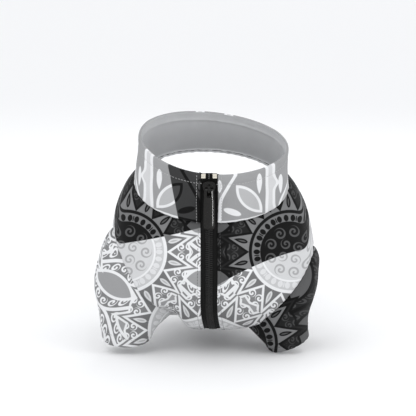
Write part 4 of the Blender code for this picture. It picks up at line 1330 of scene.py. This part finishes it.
def make_sleeve(leg, tone):
    """A sleeve, its cuff's stitching and its flat size."""
    sleeve = Sleeve(leg)
    length = sleeve.length * 1.1
    shares = graded(length, (), (SLEEVE_HEM_LINE,)) / length
    columns = graded(SLEEVE_ROUND)
    angles = np.pi * (1 + 2 * columns / columns[-1])
    angle, share = (g.ravel() for g in np.meshgrid(angles, shares))
    outer, away, trunk_way, chord = sleeve.point(angle, share)
    shape = (len(shares), len(angles), 3)
    grid = outer.reshape(shape)
    way = np.cross(np.gradient(grid, angles, axis=1), np.gradient(grid, shares, axis=0))
    way = unit(way.reshape(-1, 3))
    way *= np.sign(np.sum(way * away, axis=1).mean())
    near_top = np.clip(1 - share * chord / TRUNK_WAY_REACH, 0, 1)[:, None]
    way = unit(way * (1 - near_top) + trunk_way * near_top)
    arc = np.abs(columns - np.where(columns > columns[-1] / 2, columns[-1], 0))
    from_seam = np.tile(arc, len(shares))
    from_top, from_hem = share * chord, (1 - share) * chord
    edges = rolled(from_hem)
    lift = -SEAM_DIP * np.maximum(rolled(from_top), 0.7 * rolled(from_seam))
    lift -= EDGE_THINNING * edges
    lift += hemmed(from_hem, SLEEVE_HEM_LINE) + puckers(angle * GATHER_RADIUS, from_top)
    lift += puckers(angle * CUFF_GATHER_RADIUS, from_hem, 0.0080, 0.00018)
    outer = outer + way * lift[:, None]
    map_angle, map_share = (g.ravel() for g in np.meshgrid(SLEEVE_ANGLES, SLEEVE_SHARES))
    map_places, map_away, _, _ = sleeve.point(map_angle, map_share)
    map_shape = (len(SLEEVE_SHARES), len(SLEEVE_ANGLES), 3)
    maps = lay_print(map_places.reshape(map_shape), map_away.reshape(map_shape), leg.side)
    prints = read_map(maps, SLEEVE_ANGLES, SLEEVE_SHARES, angle, share)
    faces = facing_out(grid_faces(len(shares), len(angles)), outer, way)
    piece = close_cloth(
        "sleeve_cloth_" + leg.name, outer, way, CLOTH_WALL, faces, prints,
        (cloth["sleeve_" + leg.name], reverse), EDGE_THINNING * edges)
    hem_row = close_to(shares, 1 - SLEEVE_HEM_LINE / length)
    stitches = sew("stitches_cuff_" + leg.name, [outer.reshape(shape)[hem_row]],
                   [way.reshape(shape)[hem_row]], tone)
    return piece, stitches, *cut_size(sleeve.point(angle, share, ())[0].reshape(shape))


for leg, tone, slot in zip(LEGS, ("dark", "pale"), ("dark_print", "light_print")):
    piece, stitches, size, area = make_sleeve(leg, tone)
    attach(piece, "jacket")
    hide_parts("sleeve_" + leg.name)


# ---------------------------------------------------------------------------------------------
# Zip tapes. A woven black tape each side of the chain. Its outer edge runs under the turned
# edge of the collar and of the front panel, and a row of stitches holds it there.
# ---------------------------------------------------------------------------------------------
TAPE_WALL = 0.0010
TAPE_SINK = 0.0006
CHAIN_WIDTH = 0.0060
CLIP_CLEARANCE = 0.0004
CROWN_RADIUS = 0.060
ZIP_STEP = 0.0075
ZIP_SMOOTHING = 3
ZIP_GRID = 0.0012
ZIP_WAY_ACROSS = np.array((1.0, 0.0, 0.0))
TAPE_CLOTH_WALL = 0.0007
LEAST_COVER = 0.0003
# Distance beside the zip's middle line and height of the tape's face, from under the coil outwards
TAPE_PROFILE = (
    (0.00005, -0.00150), (0.0014, -0.00150), (0.0025, -0.00150), (0.0030, -0.00120),
    (0.0034, -0.00085), (0.0039, -0.00066), (0.0045, -TAPE_SINK), (0.0052, -TAPE_SINK),
    (0.0060, -TAPE_SINK), (0.0067, -TAPE_SINK),
)
# The same, and depth below the cloth's face, for the tape's outer edge under the cloth
TAPE_EDGE = ((ZIP_OPENING / 2 - 0.0002, 0.0015), (ZIP_OPENING / 2 + 0.0014, 0.0023))


def run_along(places):
    """How far each place on a line lies from its first."""
    return np.concatenate(([0.0], np.cumsum(np.linalg.norm(np.diff(places, axis=0), axis=1))))


steps_up, steps_down = round(NECK.length / ZIP_STEP), round(TRUNK.length / ZIP_STEP)
zip_line = np.concatenate([
    NECK.bare(np.zeros(steps_up), 1 - np.arange(steps_up) / steps_up),
    TRUNK.bare(np.zeros(steps_down + 1), np.arange(steps_down + 1) / steps_down)])
for _ in range(ZIP_SMOOTHING):
    zip_line[1:-1] = (zip_line[:-2] + 2 * zip_line[1:-1] + zip_line[2:]) / 4
zip_marks = np.arange(len(zip_line), dtype=float)
zip_reach = run_along(zip_line)


def zip_frame(mark):
    """Places on the zip's middle line, and the ways across, out and along, at station marks."""
    mark = np.asarray(mark, float)
    place = curve_through(zip_marks, zip_line, mark)
    before = curve_through(zip_marks, zip_line, np.maximum(mark - 0.05, 0))
    after = curve_through(zip_marks, zip_line, np.minimum(mark + 0.05, zip_marks[-1]))
    along = unit(after - before)
    out = unit(np.cross(along, ZIP_WAY_ACROSS))
    return place, unit(np.cross(out, along)), out, along


def mark_at(reach):
    """The station mark at a length down the zip from its top."""
    return np.interp(reach, zip_reach, zip_marks)


def edge_rows(side, mark, offset, sink):
    """Places under the cloth beside the zip: on the collar above the neckline, the front below."""
    places = []
    for surface, along, depth, outwards in (
            (NECK, 1 - mark / steps_up, sink - CLOTH_WALL, -1),
            (TRUNK, (mark - steps_up) / steps_down, sink, 1)):
        along = np.clip(along, 0, 1)
        place, way = surface.point(side * surface.round_at(offset, along), along)
        places.append(place - outwards * way * max(depth, LEAST_COVER))
    blend = np.clip((mark - steps_up) / 0.8 + 0.5, 0, 1)[:, None]
    return places[0] * (1 - blend) + places[1] * blend


def lofted(name, lines, wall, material):
    """A closed strip from lines of points side by side, given its wall downwards."""
    grid = np.stack(lines, 1)
    rows, columns = grid.shape[:2]
    way = unit(np.cross(np.gradient(grid, axis=0), np.gradient(grid, axis=1)).reshape(-1, 3))
    if way[:, 1].mean() > 0:
        way = -way
    outer = grid.reshape(-1, 3)
    across, along = run_along(grid[rows // 2]), run_along(grid[:, 0])
    prints = np.stack((np.tile(across, rows), np.repeat(along, columns)), -1)
    faces = facing_out(grid_faces(rows, columns), outer, way)
    return close_cloth(name, outer, way, wall, faces, prints, (material, material))


def tape_material():
    """Black woven tape: fine ribs across, a soft dusty sheen."""
    material, shade, shader = start_material(
        "zip_tape_weave", specular_ior_level=0.12, sheen_weight=0.02, sheen_roughness=0.4)
    x, y = shade.print_place()
    rib = x.math("SINE", x * (2 * math.pi / 0.7) + x.math("SINE", y * (math.pi / 0.6)) * 1.3)
    fuzz = shade.noise(420.0, 2.0)
    tone = 0.0050 + rib * 0.0016 + fuzz * 0.003
    feed(shader, base_color=tone.tint(high=(1.0, 1.0, 0.96)), roughness=0.66 + fuzz * 0.2,
         normal=(rib * 0.6 + fuzz * 0.4).bump(0.7, 0.00018))
    return material


tape_cloth = tape_material()
marks = np.linspace(0, zip_marks[-1], int(zip_reach[-1] / ZIP_GRID))
place, across, out, _ = zip_frame(marks)
for name, side in (("left", 1), ("right", -1)):
    lines = []
    for offset, height in TAPE_PROFILE:
        crown = offset**2 / (2 * CROWN_RADIUS)
        lines.append(place + across * side * offset + out * (height - crown))
    lines += [edge_rows(side, marks, offset, sink) for offset, sink in TAPE_EDGE]
    lines = lines[::side]
    tape = lofted("zip_tape_cloth_" + name, lines, TAPE_CLOTH_WALL, tape_cloth)
    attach(tape, "jacket")
    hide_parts("zip_tape_" + name)
    cut_size(np.stack(lines, 1))[0]

# ---------------------------------------------------------------------------------------------
# Zip chain. Two rows of black nylon coil teeth, closed all the way down: each tooth is a short
# bar with a rounded head, and the rows mesh with half a step between them.
# ---------------------------------------------------------------------------------------------
TOOTH_PITCH = 0.00185
TOOTH_REACH = 0.0034
TOOTH_RADIUS = 0.00058
TOOTH_HEAD = 0.00078
TOOTH_RISE = 0.00045
GUIDE_STEP = 0.0009
CHAIN_MIDDLE = -TAPE_SINK - TAPE_WALL / 2
SLIDER_FROM_TOP = 0.0055
WEDGE_LENGTH = 0.0030
RETAINER_LENGTH = 0.0080


def tooth_tree(material):
    """Teeth along a guide line, each a bar across it with a rounded head at the inner end."""
    tree, given, result = new_tree("coil_teeth", "Pitch", "Reach", "Radius", "Head", "Side")
    reach = given.outputs["Reach"]
    bar = add_node(tree, "GeometryNodeMeshCylinder", None, {
        "Vertices": 8, "Radius": given.outputs["Radius"], "Depth": reach})
    head = add_node(tree, "GeometryNodeMeshUVSphere", None, {
        "Segments": 8, "Rings": 5, "Radius": given.outputs["Head"]})
    offset = add_node(tree, "ShaderNodeCombineXYZ", None, {2: times(tree, reach, -0.5)})
    placed = add_node(tree, "GeometryNodeTransform", None, {
        0: head.outputs["Mesh"], "Translation": offset.outputs[0], "Scale": (1.0, 0.8, 0.9)})
    both = add_node(tree, "GeometryNodeJoinGeometry")
    tree.links.new(bar.outputs["Mesh"], both.inputs[0])
    tree.links.new(placed.outputs[0], both.inputs[0])
    # The bar's length lies across the zip
    sideways = add_node(tree, "ShaderNodeCombineXYZ", None, {0: given.outputs["Side"]})
    along = add_node(tree, "GeometryNodeInputTangent")
    return set_along(tree, given, result, both.outputs[0], sideways.outputs[0], along.outputs[0],
                     "Z", "Y", material)


# Black nylon: a satin plastic, a little scuffed
coil, shade, coil_shader = start_material("coil_nylon", specular_ior_level=0.35)
scuff = shade.noise(260.0, 3.0)
feed(coil_shader, base_color=(scuff * 0.018 + 0.004).tint(high=(1.0, 1.0, 0.95)),
     roughness=0.34 + scuff * 0.25)

chain_start = SLIDER_FROM_TOP + WEDGE_LENGTH + CLIP_CLEARANCE
chain_end = zip_reach[-1] - RETAINER_LENGTH * 0.7
teeth = []
for side in (1, -1):
    start = chain_start + (0.5 * TOOTH_PITCH if side < 0 else 0.0)
    place, across, out, _ = zip_frame(mark_at(np.arange(start, chain_end, GUIDE_STEP)))
    line = place + across * side * (0.52 * TOOTH_REACH) + out * (CHAIN_MIDDLE + TOOTH_RISE)
    teeth.append(grow(
        "coil_row_" + ("left" if side > 0 else "right"), tooth_tree(coil), [line],
        Pitch=TOOTH_PITCH, Reach=TOOTH_REACH, Radius=TOOTH_RADIUS, Head=TOOTH_HEAD,
        Side=float(side)))
for row in teeth:
    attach(row, "jacket")
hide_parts("zip_chain")

# ---------------------------------------------------------------------------------------------
# Slider, pull and end clips. The slider is a black enamelled casting with a bridge on its face.
# The long tab hangs by its eye from the bridge and swings on it.
# ---------------------------------------------------------------------------------------------
SLIDER_LENGTH = 0.0155
SLIDER_WIDTH = 0.0125
CLIP_PLATE = 0.0012
CHAIN_HEIGHT = 0.0024
BRIDGE_LENGTH = 0.0085
BRIDGE_WIDTH = 0.0024
BRIDGE_RISE = 0.0042
BRIDGE_WIRE = 0.0012
PULL_WIDTH = 0.0105
PULL_LENGTH = 0.0385
PULL_WALL = 0.0016
PULL_EYE_WIDTH = 0.0042
PULL_EYE_LENGTH = 0.0066
STOP_WIDTH = 0.0040
STOP_LENGTH = 0.0045
STOP_BEND = 0.0009
STOP_HALF_HEIGHT = 0.00115
STOP_METAL = 0.00042
RETAINER_WIDTH = 0.0096
FLANGE_WALL = 0.0007
FLANGE_HEIGHT = 0.0006


def zip_matrix(index, height):
    """A frame on the zip at a station: X across, Y up towards the collar, Z out of the chest."""
    way = unit(zip_line[index + 1] - zip_line[index - 1] if 0 < index < len(zip_line) - 1
               else zip_line[1] - zip_line[0])
    out = unit(np.cross(way, ZIP_WAY_ACROSS))
    across = np.cross(out, way)
    matrix = Matrix.Identity(4)
    for column, vector in enumerate((across, -way, out, zip_line[index] + out * height)):
        for row in range(3):
            matrix[row][column] = vector[row]
    return matrix


def cast(name, shape, matrix, material, bevel=0.0, sharp=35):
    """A finished metal piece from a bmesh, in place, its edges rounded."""
    bmesh.ops.remove_doubles(shape, verts=shape.verts, dist=1e-6)
    bmesh.ops.recalc_face_normals(shape, faces=shape.faces)
    mesh = bpy.data.meshes.new(name)
    shape.to_mesh(mesh)
    shape.free()
    obj = add_object(name, mesh)
    if bevel:
        rounding = obj.modifiers.new("rounding", "BEVEL")
        rounding.width, rounding.segments, rounding.limit_method = bevel, 3, "ANGLE"
        rounding.angle_limit = math.radians(sharp)
    bpy.context.view_layer.update()
    done = bpy.data.meshes.new_from_object(
        obj.evaluated_get(bpy.context.evaluated_depsgraph_get()))
    obj.modifiers.clear()
    obj.data = done
    done.name = name
    done.transform(matrix)
    done.materials.clear()
    done.materials.append(material)
    done.shade_smooth()
    done.set_sharp_from_angle(angle=math.radians(50))
    return obj


def plate(shape, outline, low, high):
    """Adds an extruded plate to a bmesh: a flat outline of (x, y) between two heights."""
    bottom = [shape.verts.new((x, y, low)) for x, y in outline]
    top = [shape.verts.new((x, y, high)) for x, y in outline]
    shape.faces.new(bottom[::-1])
    shape.faces.new(top)
    for i in range(len(outline)):
        j = (i + 1) % len(outline)
        shape.faces.new((bottom[i], bottom[j], top[j], top[i]))


def bent_strip(shape, ends):
    """Adds a bent strip to a bmesh. Each of its two ends has an outer and an inner line."""
    first, last = ([[shape.verts.new(place) for place in line] for line in end] for end in ends)
    for k in range(len(first[0]) - 1):
        for a, b in (first, last, (first[0], last[0]), (first[1], last[1])):
            shape.faces.new((a[k], a[k + 1], b[k + 1], b[k]))
    for end in (0, -1):
        shape.faces.new((first[0][end], first[1][end], last[1][end], last[0][end]))


# Glossy black enamel on cast metal, with faint waves and a few fine rubs
enamel, shade, enamel_shader = start_material(
    "black_enamel", specular_ior_level=0.06, coat_weight=0.30, coat_roughness=0.05)
wave, rub = shade.noise(170.0, 2.0), shade.noise(700.0, 4.0)
feed(enamel_shader, base_color=(rub * 0.005 + 0.003).tint(high=(1.0, 0.96, 0.86)),
     roughness=0.20 + rub * 0.14, normal=wave.bump(0.8, 0.0006))

plated_metal, shade, plated_shader = start_material("bright_plating", metallic=1.0)
rub = shade.noise(500.0, 3.0)
feed(plated_shader, base_color=rub.tint((0.60, 0.55, 0.45), (0.88, 0.85, 0.76)),
     roughness=0.22 + rub * 0.2)


def half_outline(points):
    """A closed outline from its right half, mirrored."""
    return points + [(-x, y) for x, y in reversed(points) if abs(x) > 1e-6]


slider_mark = round((SLIDER_FROM_TOP + SLIDER_LENGTH / 2) / ZIP_STEP)
slider_frame = zip_matrix(slider_mark, CHAIN_MIDDLE)
half_long, half_wide = SLIDER_LENGTH / 2, SLIDER_WIDTH / 2
slider_outline = half_outline([
    (0.0, half_long), (0.45 * half_wide, 0.97 * half_long), (0.90 * half_wide, 0.80 * half_long),
    (half_wide, 0.55 * half_long), (0.98 * half_wide, 0.20 * half_long),
    (0.80 * half_wide, -0.30 * half_long), (0.72 * half_wide, -0.80 * half_long),
    (0.62 * half_wide, -0.97 * half_long), (0.0, -half_long),
])
plate_low = CHAIN_HEIGHT / 2 + CLIP_CLEARANCE
plate_high = plate_low + CLIP_PLATE
body = bmesh.new()
plate(body, slider_outline, plate_low, plate_high)
plate(body, slider_outline, -plate_high, -plate_low)
slider_body = cast("slider_plates", body, slider_frame, enamel, bevel=0.00045)
post = bmesh.new()
plate(post, half_outline([(0.0, half_long - 0.0005), (0.0017, half_long - 0.0012),
                          (0.0, half_long - 0.0032)]), -plate_low, plate_low)
slider_post = cast("slider_post", post, slider_frame, enamel, bevel=0.0003)
flanges = bmesh.new()
flange_line = ((0.97 * half_wide, 0.55 * half_long), (0.76 * half_wide, -0.30 * half_long),
               (0.68 * half_wide, -0.85 * half_long))
flange_outline = [*flange_line, *((x - FLANGE_WALL, y) for x, y in reversed(flange_line))]
for side in (1, -1):
    wall = [(side * x, y) for x, y in flange_outline]
    plate(flanges, wall, plate_low - FLANGE_HEIGHT, plate_low)
    plate(flanges, wall, -plate_low, -plate_low + FLANGE_HEIGHT)
slider_flanges = cast("slider_flanges", flanges, slider_frame, enamel, bevel=0.00015)

bridge = bmesh.new()
foot, inner_foot, rise = BRIDGE_LENGTH / 2, BRIDGE_LENGTH / 2 - BRIDGE_WIRE, BRIDGE_RISE
arch = [(foot, 0.0), (foot, 0.45 * rise), (0.82 * foot, 0.80 * rise), (0.45 * foot, rise)]
inner = [(inner_foot, 0.0), (inner_foot, 0.40 * rise), (0.78 * inner_foot, 0.55 * rise),
         (0.45 * inner_foot, rise - BRIDGE_WIRE)]
bent_strip(bridge, [
    [[(x, y, plate_high - 0.0002 + z) for y, z in [*((-y, z) for y, z in half), *half[::-1]]]
     for half in (arch, inner)] for x in (-BRIDGE_WIDTH / 2, BRIDGE_WIDTH / 2)])
slider_bridge = cast("slider_bridge", bridge, slider_frame, enamel, bevel=0.0003, sharp=50)
for piece in (slider_body, slider_post, slider_flanges, slider_bridge):
    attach(piece, "jacket")
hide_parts("zip_slider")

# The pull: a long crowned tab, a little wider towards its rounded foot, with an eye at its head
HEAD_ROUND = 0.0022
FOOT_ROUND = 0.0030
CROWN = 0.00070
RIM_DROP = 0.00032
pull_axis = slider_frame @ Vector((0, 0, plate_high + (BRIDGE_RISE - BRIDGE_WIRE) / 2))
top = PULL_WALL / 2
eye_top, eye_foot = -top, -top - PULL_EYE_LENGTH


def tab_width(down):
    """Half the pull's width at a distance below its head."""
    width = PULL_WIDTH / 2 * (0.86 + 0.14 * min(down / PULL_LENGTH / 0.45, 1.0))
    if down < HEAD_ROUND:
        width *= math.sqrt(max(1 - ((HEAD_ROUND - down) / HEAD_ROUND) ** 2 * 0.45, 0.0))
    left = PULL_LENGTH - down
    if left < FOOT_ROUND:
        width -= FOOT_ROUND * (1 - math.sqrt(max(1 - ((FOOT_ROUND - left) / FOOT_ROUND) ** 2, 0)))
    return width


downs = np.concatenate([
    np.linspace(0, HEAD_ROUND, 7), np.linspace(0.004, PULL_LENGTH - FOOT_ROUND, 12),
    PULL_LENGTH - FOOT_ROUND * (1 - np.sin(np.linspace(0.25, np.pi / 2, 6)))])
right_side = [(tab_width(down), top - down) for down in downs]
outline = right_side + [(-x, z) for x, z in reversed(right_side)]
hole = [(PULL_EYE_WIDTH / 2 * sx * fx, eye_top - PULL_EYE_LENGTH * fz) for sx, fx, fz in (
    (1, 0.6, 0.0), (1, 1.0, 0.12), (1, 1.0, 0.88), (1, 0.6, 1.0),
    (-1, 0.6, 1.0), (-1, 1.0, 0.88), (-1, 1.0, 0.12), (-1, 0.6, 0.0))]
inner_ring = [(x * 0.80, top - 0.0014 - (top - z) * (PULL_LENGTH - 0.0028) / PULL_LENGTH)
              for x, z in outline]
loops = [outline, inner_ring, hole]
points = [p for loop in loops for p in loop]
spine = [(0.0, eye_foot - 0.0015 - i * 0.0022) for i in range(13)]
flank = [(s * 0.0026, z) for s in (-1, 1) for _, z in spine]
points += spine + flank
edges, start = [], 0
for loop in loops:
    edges += [(start + i, start + (i + 1) % len(loop)) for i in range(len(loop))]
    start += len(loop)
flat, _, faces, *_ = delaunay_2d_cdt([Vector(p) for p in points], edges, [], 0, 1e-8)
hole_marks = range(len(outline) + len(inner_ring), len(outline) + len(inner_ring) + len(hole))
outline_marks = range(len(outline))


def height_of(i):
    """How far the pull's face is crowned at a flat point: highest along its middle."""
    if i in outline_marks:
        return -RIM_DROP
    return CROWN * (1 - min(abs(flat[i][0]) / (PULL_WIDTH / 2), 1.0) ** 2)


tab = bmesh.new()
kept = [f for f in faces if not all(i in hole_marks for i in f)
        and not all(i in outline_marks for i in f)]
front = [tab.verts.new((x, -top - height_of(i), z)) for i, (x, z) in enumerate(flat)]
rear = [tab.verts.new((x, top + 0.4 * height_of(i), z)) for i, (x, z) in enumerate(flat)]
pairs = {(a, b) for f in kept for a, b in zip(f, f[1:] + f[:1])}
for f in kept:
    tab.faces.new([front[i] for i in f])
    tab.faces.new([rear[i] for i in reversed(f)])
for a, b in pairs:
    if (b, a) not in pairs:
        tab.faces.new((front[b], front[a], rear[a], rear[b]))
pull = cast("pull_tab", tab, Matrix.Translation(pull_axis), enamel)
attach(pull, "pull")
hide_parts("zip_pull")
# The narrow light is shaded off the cloth, so that it draws its line on the pull alone
lit_pieces = bpy.data.collections.new("strip_lit")
lit_pieces.objects.link(pull)
bpy.data.objects["strip_light"].light_linking.receiver_collection = lit_pieces

# Top stops: bright plated clips, each bent round the inner edge of its tape
stop_frame = zip_matrix(0, -TAPE_SINK)
low_x = CHAIN_WIDTH / 2 + CLIP_CLEARANCE - 0.0004
reach = low_x + STOP_WIDTH + 0.0004
tape_middle = -TAPE_WALL / 2
bend = []
for i in range(9):
    turn = math.pi / 2 + math.pi * i / 8
    bend.append((low_x + STOP_BEND + STOP_BEND * math.cos(turn),
                 tape_middle + STOP_HALF_HEIGHT * math.sin(turn)))
ring = [(reach, bend[0][1]), *bend, (reach, bend[-1][1])]
inner = [(x + (STOP_METAL if x < low_x + STOP_BEND else 0.0),
          tape_middle + (z - tape_middle) * (1 - STOP_METAL / STOP_HALF_HEIGHT)) for x, z in ring]
half_stop = STOP_LENGTH / 2
for name, side in (("left", 1), ("right", -1)):
    clip = bmesh.new()
    for ends in ((-0.0002, -half_stop + 0.0001), (-half_stop - 0.0001, -STOP_LENGTH)):
        bent_strip(clip, [[[(side * x, y, z) for x, z in line] for line in (ring, inner)]
                          for y in ends])
    stop = cast("stop_clip_" + name, clip, stop_frame, plated_metal, bevel=0.00012, sharp=60)
    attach(stop, "jacket")
    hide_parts("zip_stop_" + name)

# Retainer at the foot: two small plates closed round the end of the chain
retainer_mark = len(zip_line) - 1 - math.ceil(RETAINER_LENGTH / 2 / ZIP_STEP)
retainer_frame = zip_matrix(retainer_mark, CHAIN_MIDDLE)
half_wide, half_long = RETAINER_WIDTH / 2, RETAINER_LENGTH / 2
box_outline = half_outline([(0.0, half_long), (0.90 * half_wide, half_long),
                            (half_wide, 0.80 * half_long), (half_wide, -0.80 * half_long),
                            (0.90 * half_wide, -half_long), (0.0, -half_long)])
body = bmesh.new()
plate(body, box_outline, plate_low, plate_high)
plate(body, box_outline, -plate_high, -plate_low)
wall_foot, wall_head = -half_long + 0.0002, -half_long + 0.0018
plate(body, half_outline([(0.0, wall_foot), (CHAIN_WIDTH / 2, wall_foot),
                          (CHAIN_WIDTH / 2, wall_head), (0.0, wall_head)]),
      -plate_low, plate_low)
retainer = cast("retainer_clip", body, retainer_frame, enamel, bevel=0.0003)
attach(retainer, "jacket")
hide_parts("zip_retainer")
